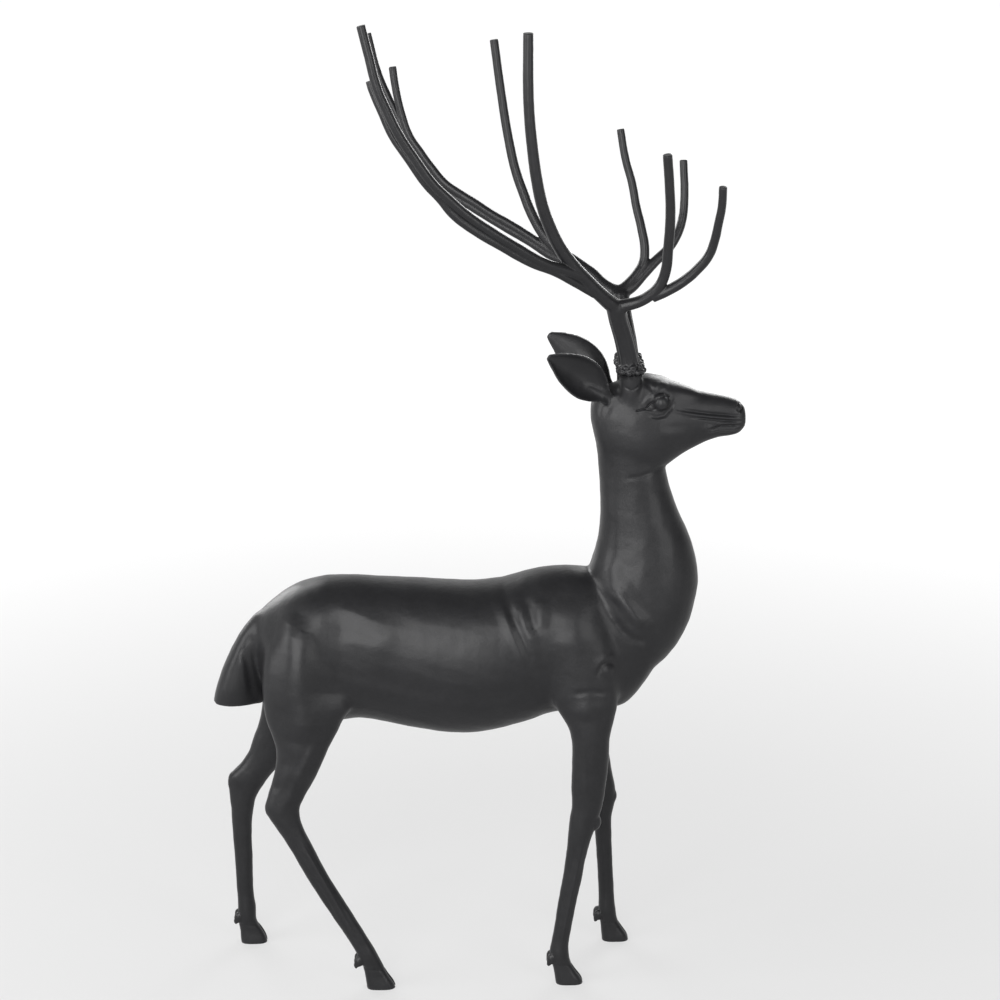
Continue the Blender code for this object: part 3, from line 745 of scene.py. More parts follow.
@dataclass(frozen=True)
class Body:
    """The one casting: trunk, neck, head, ears, tail and legs.

    Blends and joins say where the surface is softened, and their heights how much. Each of the
    swells stands with the distance that it rises.
    """

    trunk: Upright = Upright(
        (
            (-300, 472, 425, 14),
            (-292, 484, 394, 34),
            (-276, 498, 366, 53),
            (-260, 509, 350, 63),
            (-247, 515, 345, 67),
            (-235, 519, 343, 69),
            (-220, 523, 342, 71),
            (-200, 525, 343, 71),
            (-175, 525, 346, 70),
            (-140, 522, 341, 70),
            (-100, 520, 333, 73),
            (-60, 517, 327, 76),
            (-25, 516, 328, 77),
            (5, 520, 333, 75),
            (35, 529, 341, 71),
            (62, 534, 350, 67),
            (98, 534, 354, 62),
            (113, 530, 354, 60),
            (130, 508, 355, 56),
            (157, 470, 363, 48),
            (174, 446, 383, 38),
            (188, 428, 402, 20),
        ),
        2.15,
    )
    neck: Level = Level(
        (
            (402, 116, 184, 34),
            (418, 106, 202, 44),
            (436, 100, 217, 50),
            (468, 96, 233, 53),
            (491, 99, 239, 52),
            (515, 104, 243, 49),
            (546, 114, 240, 44),
            (577, 121, 231, 39),
            (608, 123, 217, 35),
            (640, 122, 206, 32),
            (665, 120, 200, 31),
            (700, 116, 196, 30),
            (726, 114, 188, 22),
        ),
        2.1,
    )
    head: Upright = Upright(
        (
            (110, 744, 722, 8),
            (113, 752, 708, 16),
            (119, 760, 688, 24),
            (130, 766, 668, 30),
            (145, 771, 659, 33),
            (160, 773, 656, 35),
            (175, 773, 656, 35),
            (190, 768, 661, 34),
            (201, 763, 667, 31),
            (216, 763, 678, 26),
            (240, 758, 692, 21),
            (262, 753, 701, 18),
            (280, 749, 704, 17),
            (289, 745, 707, 16),
            (296, 736, 715, 12),
        ),
        2.25,
    )
    forehead: Upright = Upright(
        (
            (140, 765, 742, 15),
            (150, 772, 736, 22),
            (162, 777, 732, 26),
            (175, 779, 730, 28),
            (188, 777, 730, 28),
            (201, 773, 732, 25),
            (214, 768, 734, 20),
            (228, 763, 736, 16),
            (245, 756, 738, 12),
        ),
        3.0,
    )
    tail: Level = Level(
        (
            (363, -356, -292, 18),
            (380, -352, -292, 21),
            (410, -342, -290, 21),
            (440, -328, -283, 19),
            (462, -315, -277, 16),
            (482, -300, -268, 10),
        ),
        2.0,
        pinch=0.35,
    )
    legs: tuple[Leg, ...] = (
        Leg(
            Side.RIGHT,
            (
                (-6, 87, 16.0, 59, 11.5),
                (8, 85, 16.5, 59, 12.0),
                (20, 80, 13.2, 59, 10.5),
                (30, 76, 11.8, 59, 10.0),
                (43, 73, 11.8, 59, 11.0),
                (58, 74, 10.8, 59, 9.3),
                (76, 77, 10.6, 59, 8.8),
                (109, 82, 11.2, 59, 8.8),
                (142, 88, 11.8, 59, 9.2),
                (175, 93, 12.4, 59, 10.0),
                (203, 98, 14.5, 59, 12.0),
                (223, 102, 17.0, 58, 13.5),
                (240, 106, 18.3, 58, 13.5),
                (271, 108, 21.0, 58, 15.0),
                (303, 110, 22.2, 57, 17.0),
                (333, 110, 23.5, 56, 19.0),
                (350, 109, 28.5, 55, 20.5),
                (367, 106, 36.0, 53, 22.0),
                *SHOULDER_ROWS,
            ),
            101,
            (63, 59, 38),
            (116, 58, 222),
            (8, 9, 11),
        ),
        Leg(
            Side.LEFT,
            (
                (-6, 153, 16.5, 62, 11.5),
                (8, 151, 16.5, 62, 12.0),
                (20, 147, 13.2, 62, 10.5),
                (32, 143, 11.0, 62, 10.0),
                (47, 141, 10.6, 62, 11.0),
                (62, 140, 9.9, 62, 9.3),
                (83, 139, 9.8, 62, 8.8),
                (117, 137, 9.8, 61, 8.8),
                (151, 135, 10.3, 61, 9.2),
                (180, 134, 11.0, 60, 10.5),
                (203, 135, 14.5, 60, 13.0),
                (220, 133, 15.8, 59, 13.5),
                (236, 129, 16.6, 59, 13.5),
                (255, 124, 18.2, 58, 14.5),
                (280, 118, 21.0, 58, 16.0),
                (310, 114, 22.5, 57, 17.5),
                (335, 110, 24.0, 55, 19.0),
                (350, 108, 28.0, 55, 20.5),
                (367, 105, 34.0, 53, 22.0),
                *SHOULDER_ROWS,
            ),
            169,
            (129, 62, 40),
            (143, 60, 207),
            (8.5, 9, 12),
        ),
        Leg(
            Side.RIGHT,
            (
                (-6, -150, 17.0, 66, 11.5),
                (8, -152, 17.0, 66, 12.0),
                (21, -157, 14.0, 66, 10.5),
                (34, -162, 12.6, 66, 10.2),
                (50, -169, 12.2, 66, 11.0),
                (67, -178, 12.2, 66, 9.4),
                (100, -197, 13.0, 66, 9.2),
                (133, -216, 13.4, 66, 9.4),
                (166, -234, 13.5, 66, 9.8),
                (199, -250, 14.5, 65, 10.6),
                (220, -261, 16.0, 65, 11.5),
                (236, -268, 18.8, 65, 12.2),
                (248, -270, 21.0, 65, 12.4),
                (263, -265, 22.5, 64, 13.0),
                (279, -258, 24.6, 63, 14.5),
                (295, -252, 26.5, 64, 16.0),
                (311, -247, 28.8, 62, 18.0),
                (326, -244, 32.2, 60, 20.0),
                (342, -242, 39.2, 57, 22.5),
                (358, -241, 46.0, 55, 25.0),
                (376, -237, 54.0, 52, 27.0),
                (402, -237, 56.0, 49, 29.0),
                (430, -235, 56.0, 47, 29.0),
                *HIP_ROWS,
            ),
            -133,
            (-179, 66, 41),
            (-285, 65, 248),
            (6.5, 6.5, 12),
        ),
        Leg(
            Side.LEFT,
            (
                (-6, -318, 16.0, 68, 11.5),
                (8, -319, 16.5, 68, 12.0),
                (20, -322, 14.0, 68, 10.5),
                (34, -327, 11.4, 67, 10.2),
                (50, -327, 11.4, 67, 11.0),
                (66, -328, 10.4, 67, 9.4),
                (87, -329, 10.5, 67, 9.2),
                (121, -329, 11.3, 66, 9.2),
                (155, -330, 11.8, 66, 9.4),
                (176, -330, 12.8, 66, 10.2),
                (192, -329, 14.0, 65, 11.2),
                (207, -328, 16.6, 65, 12.0),
                (222, -324, 21.0, 65, 12.4),
                (238, -318, 25.5, 64, 13.0),
                (255, -303, 25.5, 64, 14.0),
                (271, -292, 26.5, 63, 15.5),
                (288, -284, 28.5, 62, 17.0),
                (304, -275, 31.5, 61, 18.5),
                (320, -267, 35.0, 59, 20.5),
                (345, -256, 42.0, 56, 23.5),
                (372, -246, 50.0, 52, 27.0),
                (402, -239, 56.0, 49, 29.0),
                (430, -236, 56.0, 47, 29.0),
                *HIP_ROWS,
            ),
            -303,
            (-338, 67, 40),
            (-339, 65, 228),
            (7.5, 8, 15),
        ),
    )
    ear: Ear = Ear()
    seat: Seat = Seat()
    eye: Row = (191.4, 29.6, 752.0)
    eye_radius: float = 10.6
    ball_edge: float = 7.2
    blends: tuple[Swell, ...] = (
        Swell((98, 50, 470), (80, 60, 95), 1.0),
        Swell((-236, 48, 470), (85, 60, 60), 0.5),
        Swell((-275, 48, 420), (60, 60, 85), 0.5),
        Swell((150, 40, 430), (60, 50, 70), 0.8),
        Swell((106, 52, 365), (50, 40, 45), 0.8),
        Swell((-280, 20, 460), (50, 50, 60), 0.6),
        Swell((190, 20, 765), (60, 40, 30), 0.25),
        Swell((135, 10, 700), (45, 50, 45), 0.5),
    )
    strokes: tuple[Stroke, ...] = (
        Stroke(((-8, 514), (5, 494), (17, 470), (28, 448), (35, 428)), 13, 1.3),
        Stroke(((3, 512), (14, 490), (24, 466), (33, 444), (38, 426)), 9, -2.0),
        Stroke(((16, 512), (26, 492), (34, 474), (40, 456)), 11, 1.4),
        Stroke(((31, 514), (36, 495), (40, 476)), 10, -1.5),
        Stroke(((48, 514), (48, 496), (46, 474)), 14, 1.4),
        Stroke(
            ((112, 560), (120, 550), (131, 538), (143, 518), (155, 495), (170, 475), (184, 462)),
            25, 3.6,
        ),
        Stroke(((133, 488), (146, 471), (160, 461), (180, 455)), 10, -2.0),
        Stroke(((118, 545), (110, 520), (104, 490), (100, 462), (100, 440)), 32, 1.2),
        Stroke(
            ((-196, 424), (-154, 420), (-111, 405), (-63, 396), (-14, 393), (36, 401)),
            20, -1.6,
        ),
        Stroke(((-160, 352), (-100, 344), (-40, 341), (20, 350)), 26, 1.6),
        Stroke(((84, 397), (108, 400), (131, 396)), 7, -1.3),
        Stroke(((136, 522), (150, 506), (166, 488), (176, 478)), 12, 2.2),
        Stroke(((-208, 372), (-203, 404), (-198, 434), (-188, 470), (-176, 504)), 50, -5.5),
        Stroke(
            ((-236, 500), (-246, 478), (-250, 449), (-248, 404), (-243, 365), (-248, 330)),
            30, 5.0,
        ),
        Stroke(((134, 646), (138, 600), (138, 560), (134, 520)), 16, 1.2),
        Stroke(((-318, 446), (-312, 424), (-308, 391), (-304, 362)), 7, -1.3),
        Stroke(((150, 658), (168, 660), (186, 665), (198, 669)), 5, -1.3),
        Stroke(ring_path(129, 423, 11, 20, 215), 4.5, -1.2),
        Stroke(ring_path(129, 423, 17, 50, 190), 6.0, 0.8),
    )
    leg_strokes: tuple[Stroke, ...] = (
        Stroke(
            ((-258, 222), (-237, 184), (-213, 137), (-189, 88), (-163, 34)),
            4.0, 1.5, side=Side.RIGHT,
        ),
        Stroke(((-266, 216), (-246, 180), (-222, 134), (-198, 86)), 4.5, -1.2, side=Side.RIGHT),
        Stroke(((-224, 344), (-247, 298), (-262, 264), (-272, 246)), 8, 1.5, side=Side.RIGHT),
        Stroke(((-262, 322), (-270, 296), (-280, 266)), 8, -1.2, side=Side.RIGHT),
        Stroke(((-322, 200), (-324, 150), (-323, 95), (-322, 50)), 4.0, 1.5, side=Side.LEFT),
        Stroke(((-331, 196), (-333, 150), (-332, 95)), 4.5, -1.2, side=Side.LEFT),
        Stroke(((-262, 340), (-284, 298), (-306, 262), (-318, 244)), 8, 1.5, side=Side.LEFT),
        Stroke(((-290, 318), (-306, 290), (-322, 262)), 8, -1.2, side=Side.LEFT),
        Stroke(((104, 214), (97, 175), (88, 130), (79, 80), (74, 50)), 4.5, 1.2, side=Side.RIGHT),
        Stroke(((94, 206), (88, 170), (80, 125), (72, 80)), 4.5, -1.1, side=Side.RIGHT),
        Stroke(((138, 196), (138, 150), (141, 95), (143, 55)), 4.5, 1.2, side=Side.LEFT),
        Stroke(((129, 196), (130, 150), (133, 95)), 4.5, -1.1, side=Side.LEFT),
        Stroke(((98, 345), (101, 300), (102, 255)), 8, 1.2, side=Side.RIGHT),
        Stroke(((104, 345), (110, 300), (120, 250)), 8, 1.2, side=Side.LEFT),
    )
    head_strokes: tuple[Stroke, ...] = (
        Stroke(((168, 747), (176, 756), (185, 763.4), (195, 766.4), (204, 763)), 4.2, 1.0),
        Stroke(
            (
                (163, 742.6), (173, 745.1), (179.9, 752),
                (186.5, 758.5), (195.8, 761.4), (202, 758.6),
            ),
            1.7, -1.9, end=0.7,
        ),
        Stroke(
            ((173, 744), (182.7, 743.2), (192, 744.6), (199, 750), (201.8, 756)),
            1.6, -1.0, end=0.6,
        ),
        Stroke(((176, 738), (185.5, 734.6), (196.5, 735.8), (205, 744), (209, 754.5)), 4.0, -1.5),
        Stroke(
            ((213, 741.3), (231.8, 738.1), (253.2, 734.6), (277.4, 731.9), (290, 730.8)),
            3.4, -1.5,
        ),
        Stroke(
            ((211, 739.6), (231.8, 734.8), (253.3, 731.3), (274.8, 729), (290, 727.9)),
            3.2, 1.9,
        ),
        Stroke(((230, 731.4), (258.9, 726.9), (277.7, 725), (290, 724.6)), 2.4, -1.6),
        Stroke(((259, 722), (275, 722.6), (290, 722.4)), 2.2, 0.9),
        Stroke(
            (
                (250, 716), (256.7, 716.3), (260.7, 718),
                (266.1, 719.3), (280.8, 718.9), (291, 718.9),
            ),
            1.8, -2.1,
        ),
        Stroke(
            ((248, 712.6), (254, 712), (260, 713.6), (268, 714.4), (278, 714.6), (289, 714.9)),
            2.8, 1.3,
        ),
        Stroke(((262, 708.6), (275, 708.6), (286, 710.4)), 2.6, -0.8),
        Stroke(
            (
                (286, 742.6), (289, 745.4), (292, 743.6),
                (292.4, 738.4), (289, 735.8), (285.8, 738.4),
            ),
            2.0, -2.2, end=0.7,
        ),
        Stroke(((282, 745), (287, 749), (293, 746.4), (295, 740)), 2.4, 0.9),
        Stroke(
            ((146, 773), (150.3, 770.5), (156.2, 767.7), (162.2, 770.4), (166, 773.6)),
            2.2, -1.0,
        ),
        Stroke(((172, 779), (177, 771), (184, 765)), 5.0, -1.1),
        Stroke(((184, 769.5), (193, 771), (203, 769)), 6.0, 1.5),
        Stroke(((124, 766), (131, 755), (128, 741), (121, 730)), 7, -0.9),
        Stroke(((103, 774), (110, 772), (116, 768.6), (124, 764.6)), 3.4, 1.6, reach=(24, 80)),
    )
    joins: tuple[Swell, ...] = (
        Swell((155, 34, 755), (42, 44, 26), 1.0),
        Swell((120, 28, 757), (24, 26, 18), 0.6),
    )
    join_rounds: int = 110
    swells: tuple[tuple[Swell, float], ...] = (
        (Swell((-160, 70, 468), (60, 40, 34), 1.0), 2.2),
        (Swell((-262, 60, 478), (28, 40, 30), 1.0), 2.6),
        (Swell((72, 66, 470), (44, 40, 54), 1.0), 3.0),
        (Swell((129, 58, 423), (10, 30, 10), 1.0), 1.8),
        (Swell((103, 70, 376), (30, 34, 18), 1.0), 2.0),
        (Swell((176, 36, 415), (24, 30, 34), 1.0), 2.5),
        (Swell((-268, 66, 400), (26, 40, 50), 1.0), 2.0),
        (Swell((250, 22, 716), (9, 16, 8), 1.0), 1.6),
        (Swell((188, 30, 748), (22, 20, 20), 1.0), -1.6),
        (Swell((166, 34, 700), (34, 24, 34), 1.0), 1.6),
        (Swell((205, 26, 712), (34, 24, 12), 1.0), 1.2),
        (Swell((104, 58, 232), (16, 14, 22), 1.0), 0.8),
    )
    fine_boxes: tuple[Row, ...] = ((152, 718, 222, 784), (236, 698, 302, 760))
    undulation: float = 0.28
    flank_turn: float = 2.2
    ball_rim: float = 1.2
    boss_foot: float = 12.5
    boss_low: float = -36.0
    boss_high: float = 8.0
    boss_reach: float = 1.6
    grain: float = 1.25
    quick_grain: float = 2.0
    base_grain: float = 2.4
    base_growth: float = 0.45
    growth: float = 0.2
    even_rounds: int = 3
    blend_rounds: int = 150
    polish: float = 0.5
    triangles: int = 196000

    def build(self) -> bpy.types.Object:
        """Model the casting.

        Returns:
            The object.
        """
        clay = Clay("body")
        clay.add_mesh(self.model_base())
        for leg in self.legs:
            leg.add_details(clay)
        for side in (Side.RIGHT, Side.LEFT):
            self.add_head_parts(clay, side)
        clay.join(self.grain)
        clay.soften(self.even_rounds)
        self.blend(clay, self.joins, self.join_rounds)
        clay.grow(self.growth)
        clay.refine(self.fine_boxes)
        clay.soften(1)
        self.carve(clay)
        clay.soften(1, self.polish)
        clay.thin(self.triangles)
        clay.drop_specks()
        clay.cut_flat(Matrix.Translation((0, 0, SOLE * MM)))
        for side in (Side.RIGHT, Side.LEFT):
            self.level_seat(clay, side)
        return clay.show("stag_body")

    def model_base(self) -> bpy.types.Mesh:
        """Join trunk, neck, head, tail and legs, and soften where they meet.

        Returns:
            The closed mesh.
        """
        base = Clay("base")
        for form in (self.trunk, self.neck, self.head, self.forehead, self.tail, *self.legs):
            form.add_to(base)
        base.join(self.base_grain)
        base.soften(self.even_rounds)
        self.blend(base, self.blends, self.blend_rounds)
        base.grow(self.base_growth)
        return base.mesh

    def add_head_parts(self, clay: Clay, side: Side) -> None:
        """Add the ear, the boss under the antler and the eye of one side.

        Args:
            clay: the casting.
            side: which flank they are on.
        """
        self.ear.add_to(clay, side)
        place = self.seat.place(side)
        clay.add_drum(place, self.boss_foot, self.seat.radius, self.boss_low, self.boss_high)
        eye = (self.eye[0], side.value * self.eye[1], self.eye[2])
        clay.add_lump(eye, [self.eye_radius] * 3)

    @staticmethod
    def blend(clay: Clay, places: Sequence[Swell], rounds: int) -> None:
        """Soften the surface where forms meet.

        Args:
            clay: the casting.
            places: where; the height of each is the share of the softening in its middle.
            rounds: rounds of softening.
        """
        points = clay.points()
        weight = np.max([place.share(points) * place.height for place in places], axis=0)
        clay.soften(rounds, weight)

    def carve(self, clay: Clay) -> None:
        """Raise and cut what shows on the surface.

        Args:
            clay: the casting.
        """
        points = clay.points()
        normals = clay.normals()
        facing = np.clip(np.sign(points[:, 1]) * normals[:, 1] * self.flank_turn, 0, 1)
        move = np.zeros(len(points))
        for stroke in self.strokes + self.leg_strokes + self.head_strokes:
            move += stroke.lift(points, facing)
        off = np.hypot(points[:, 0] - self.eye[0], points[:, 2] - self.eye[2])
        move *= np.clip((off - self.ball_edge) / self.ball_rim, 0, 1)
        for swell, height in self.swells:
            move += swell.share(points) * height * facing
        move += self.undulation * ripple(points)
        for leg in self.legs:
            leg.cleave(points, normals)
        clay.put(points + normals * move[:, None])

    def level_seat(self, clay: Clay, side: Side) -> None:
        """Press the top of a boss flat.

        Args:
            clay: the casting.
            side: which boss.
        """
        place = self.seat.place(side)
        origin, axes = np.array(place.translation), np.array(place.to_3x3())
        points = clay.points()
        local = (points * MM - origin) @ axes
        off = np.hypot(local[:, 0], local[:, 1])
        over = (local[:, 2] > 0) & (off < self.boss_reach * self.seat.radius * MM)
        local[over, 2] = 0.0
        points[over] = (local[over] @ axes.T + origin) / MM
        clay.put(points)


def ripple(points: np.ndarray) -> np.ndarray:
    """Slow unevenness of a hand-finished casting, about -1 to 1, from waves with no common length.

    Args:
        points: places in millimetres.

    Returns:
        The unevenness at each.
    """
    x, y, z = points.T
    broad = np.sin(x / 9.1 + 1.7 * np.sin(z / 13.7) + 0.6)
    broad = broad * np.sin(z / 8.3 + 1.3 * np.sin(x / 17.1))
    small = SMALL_WAVES * np.sin(x / 4.3 + z / 6.1 + np.sin(y / 5.3))
    small = small * np.sin(z / 4.9 - x / 7.7 + 2.1)
    return (broad + small) / (1 + SMALL_WAVES)


@dataclass(frozen=True)
class Rod:
    """A rod of an antler: radii at its start and end, and points x, distance out, z.

    A taper under one makes it thin faster near its start.
    """

    start: float
    end: float
    route: Sequence[Row]
    taper: float = 0.8
    round_steps: int = 8
    long_steps: int = 14

    def mesh(self, side: Side) -> bpy.types.Mesh:
        """The rod as a closed mesh.

        Args:
            side: which antler it belongs to.

        Returns:
            The mesh, in metres.
        """
        curve = bpy.data.curves.new("rod", "CURVE")
        curve.dimensions = "3D"
        curve.bevel_depth = MM
        curve.bevel_resolution = self.round_steps
        curve.resolution_u = self.long_steps
        curve.use_fill_caps = True
        spline = curve.splines.new("BEZIER")
        spline.bezier_points.add(len(self.route) - 1)
        last = len(self.route) - 1
        for i, (x, out, z) in enumerate(self.route):
            point = spline.bezier_points[i]
            point.co = Vector((x, side.value * out, z)) * MM
            point.handle_left_type = "AUTO"
            point.handle_right_type = "AUTO"
            point.radius = self.start + (self.end - self.start) * (i / last) ** self.taper
        item = bpy.data.objects.new("rod", curve)
        bpy.context.scene.collection.objects.link(item)
        bpy.context.view_layer.update()
        graph = bpy.context.evaluated_depsgraph_get()
        made = bpy.data.meshes.new_from_object(item.evaluated_get(graph))
        bpy.data.objects.remove(item)
        return made


@dataclass(frozen=True)
class Beading:
    """The burr's rows of beads: inset from its rim, rise over the seat, and radius."""

    rows: tuple[Row, ...] = ((-0.6, 4.4, 4.1), (0.3, 10.4, 3.4))
    count: int = 11
    drift: float = 0.16
    drift_wave: float = 2.3
    change: float = 0.08
    change_wave: float = 3.1
    squash: float = 0.95

    def add_to(self, clay: Clay, place: Matrix, radius: float) -> None:
        """Add the beads, each a little off its even place and size.

        Args:
            clay: the antler.
            place: the seat's frame.
            radius: the seat's radius.
        """
        for row, (inset, rise, bead) in enumerate(self.rows):
            reach = radius - inset
            for i in range(self.count):
                turn = i + 0.5 * row + self.drift * math.sin(self.drift_wave * i)
                angle = 2 * math.pi * turn / self.count
                spot = Vector((reach * math.cos(angle), reach * math.sin(angle), rise)) * MM
                size = bead * (1 + self.change * math.sin(self.change_wave * i + 1))
                clay.add_lump((place @ spot) / MM, (size, size, size * self.squash))


@dataclass(frozen=True)
class Fluting:
    """The flutes down a stem, which fade and twist on their way up, and the flare of its foot."""

    count: int = 9
    depth: float = 0.75
    start: float = 2.0
    stop: float = 6.0
    reach: float = 16.0
    route_steps: int = 4
    drift: float = 0.9
    twist: float = 1.5
    fade: float = 6.0
    loss: float = 0.55
    roundness: float = 0.8
    ridge: float = 0.4
    flare: float = 2.6
    flare_reach: float = 22.0

    def cut(self, clay: Clay, stem: Rod, side: Side) -> None:
        """Cut the flutes and flare the foot.

        Args:
            clay: the antler.
            stem: its stem.
            side: which antler it is.
        """
        points = clay.points()
        route = flow([(z, x, out) for x, out, z in stem.route], self.route_steps)
        low, high = route[0][0] + self.start, route[-1][0] - self.stop
        height = points[:, 2]
        off_x = points[:, 0] - np.interp(height, route[:, 0], route[:, 1])
        off_y = points[:, 1] - np.interp(height, route[:, 0], route[:, 2]) * side.value
        on = (height > low) & (height < high) & (np.hypot(off_x, off_y) < self.reach)
        share = np.clip((height - low) / (high - low), 0, 1)
        angle = np.arctan2(off_y, off_x)
        wave = np.cos(self.count * angle + self.drift * np.sin(2 * angle) + self.twist * share)
        depth = self.depth * np.clip((1 - share) * self.fade, 0, 1) * (1 - self.loss * share)
        groove = -depth * np.clip(-wave, 0, 1) ** self.roundness
        groove += self.ridge * depth * np.clip(wave, 0, 1)
        flare = self.flare * np.clip(1 - (height - low) / self.flare_reach, 0, 1) ** 2
        clay.put(points + clay.normals() * (on * (groove + flare))[:, None])


@dataclass(frozen=True)
class Antler:
    """A burr with beads, a fluted stem and five rods fused at the fork.

    The foot is the drum inside the beads, which the seam above the seat cuts flat.
    """

    name: str
    node: str
    side: Side
    stem: Rod
    rods: tuple[Rod, ...]
    seat: Seat = Seat()
    beading: Beading = Beading()
    fluting: Fluting = Fluting()
    foot_inset: float = 1.3
    foot_taper: float = 0.8
    foot_half: float = 6.0
    weld: float = 0.01
    even_rounds: int = 3
    undulation: float = 0.1
    ripple_scale: float = 1.6
    fork_reach: float = 30.0
    fork_rounds: int = 70
    fork_growth: float = 1.3
    grain: float = 0.8
    quick_grain: float = 1.3
    triangles: int = 120000

    def build(self) -> bpy.types.Object:
        """Model the antler.

        Returns:
            The object.
        """
        clay = Clay(self.name)
        for rod in (self.stem, *self.rods):
            clay.add_mesh(rod.mesh(self.side))
        bmesh.ops.remove_doubles(clay.bm, verts=clay.bm.verts, dist=self.weld * MM)
        place = self.seat.place(self.side)
        self.beading.add_to(clay, place, self.seat.radius)
        foot = self.seat.radius - self.foot_inset
        clay.add_drum(place, foot, foot - self.foot_taper, -self.foot_half, self.foot_half)
        clay.join(self.grain)
        clay.soften(self.even_rounds)
        self.fill_fork(clay)
        self.fluting.cut(clay, self.stem, self.side)
        points = clay.points()
        rise = self.undulation * ripple(points * self.ripple_scale) - self.undulation
        clay.put(points + clay.normals() * rise[:, None])
        clay.thin(self.triangles)
        clay.drop_specks()
        clay.cut_flat(self.seat.place(self.side, self.seat.gap))
        return clay.show(self.name)

    def fill_fork(self, clay: Clay) -> None:
        """Web the rods together where they leave the stem.

        Args:
            clay: the antler.
        """
        x, out, z = self.stem.route[-1]
        points = clay.points()
        far = np.linalg.norm(points - np.array((x, self.side.value * out, z), float), axis=1)
        weight = bell(far / self.fork_reach)
        clay.soften(self.fork_rounds, weight)
        clay.put(clay.points() + clay.normals() * (self.fork_growth * weight)[:, None])


RIGHT_ANTLER = Antler(
    "stag_antler_right",
    "antler_right",
    Side.RIGHT,
    Rod(
        12.5,
        11.2,
        ((155, 21, 787), (150, 26, 816), (145, 32, 836), (139, 40, 856), (135, 47, 874)),
    ),
    (
        Rod(7.6, 5.7, (
            (136, 46, 872), (147, 50, 876), (162, 53, 881), (174, 57, 889), (184, 61, 900),
            (191, 67, 919), (193, 75, 947), (194, 86, 989), (192, 94, 1021), (188, 102, 1063),
        )),
        Rod(6.9, 4.9, (
            (177, 57, 887), (195, 61, 896), (214, 66, 909), (229, 71, 924), (240, 77, 940),
            (246, 84, 960), (249, 91, 980), (252, 98, 1003), (252, 104, 1026),
        )),
        Rod(9.4, 6.1, (
            (136, 46, 872), (120, 58, 887), (100, 71, 909), (81, 83, 932), (66, 93, 955),
            (56, 100, 976), (46, 108, 1004), (40, 114, 1030), (34, 120, 1070), (29, 126, 1125),
            (28, 130, 1205),
        )),
        Rod(6.4, 5.3, (
            (118, 60, 887), (91, 79, 918), (69, 92, 929), (49, 103, 938), (16, 119, 960),
            (-15, 132, 982), (-41, 142, 1002), (-61, 149, 1021), (-79, 155, 1040),
            (-99, 161, 1069), (-116, 165, 1096), (-129, 168, 1123), (-140, 170, 1150),
            (-149, 170.8, 1186), (-157, 170.8, 1218.8),
        )),
        Rod(5.6, 4.5, (
            (109, 64, 893), (84, 82, 911), (61, 95, 926), (34, 108, 939), (-2, 123, 962),
            (-33, 135, 983), (-57, 143, 1003), (-71, 147, 1021), (-87, 150, 1039),
            (-106, 152, 1067), (-124, 152, 1094), (-136, 151, 1121), (-146, 149, 1145),
            (-149, 148, 1155),
        )),
    ),
)

LEFT_ANTLER = Antler(
    "stag_antler_left",
    "antler_left",
    Side.LEFT,
    Rod(
        12.5,
        11.2,
        ((156, 21, 787), (154, 26, 813), (151, 32, 831), (148, 40, 849), (145, 47, 869)),
    ),
    (
        Rod(6.8, 4.9, (
            (145, 47, 869), (156, 51, 878), (167, 55, 890), (175, 60, 903), (177, 64, 918),
            (173, 71, 944), (167, 79, 969), (162, 86, 996), (154, 92, 1025), (148, 97, 1060),
        )),
        Rod(7.6, 5.0, (
            (145, 47, 868), (160, 51, 875), (175, 56, 890), (189, 61, 904), (204, 67, 917),
            (216, 74, 933), (223, 81, 951), (226, 88, 974), (225, 98, 1022),
        )),
        Rod(8.6, 5.5, (
            (145, 46, 868), (135, 53, 872), (124, 60, 879), (114, 67, 888), (103, 74, 895),
            (92, 80, 902), (75, 88, 912), (59, 95, 927), (44, 103, 950), (31, 111, 981),
            (22, 116, 1007), (13, 121, 1048), (6, 124, 1091), (-4, 127, 1164),
        )),
        Rod(5.8, 4.6, (
            (111, 69, 886), (92, 80, 898), (69, 90, 904), (37, 104, 922), (8, 116, 937),
            (-21, 127, 953), (-39, 134, 963), (-57, 141, 972), (-74, 148, 986),
            (-90, 155, 1003), (-103, 161, 1024), (-114, 166, 1048), (-124, 170, 1070),
            (-133, 174, 1089), (-145, 178, 1118), (-157, 181, 1165),
        )),
        Rod(5.4, 5.0, (
            (75, 88, 905), (51, 98, 920), (22, 110, 937), (-7, 121, 952), (-27, 129, 964),
            (-48, 136, 976), (-63, 141, 986), (-80, 147, 1005), (-94, 151, 1024),
            (-107, 155, 1043), (-117, 158, 1072), (-123, 160, 1099), (-127, 161, 1127),
        )),
    ),
)


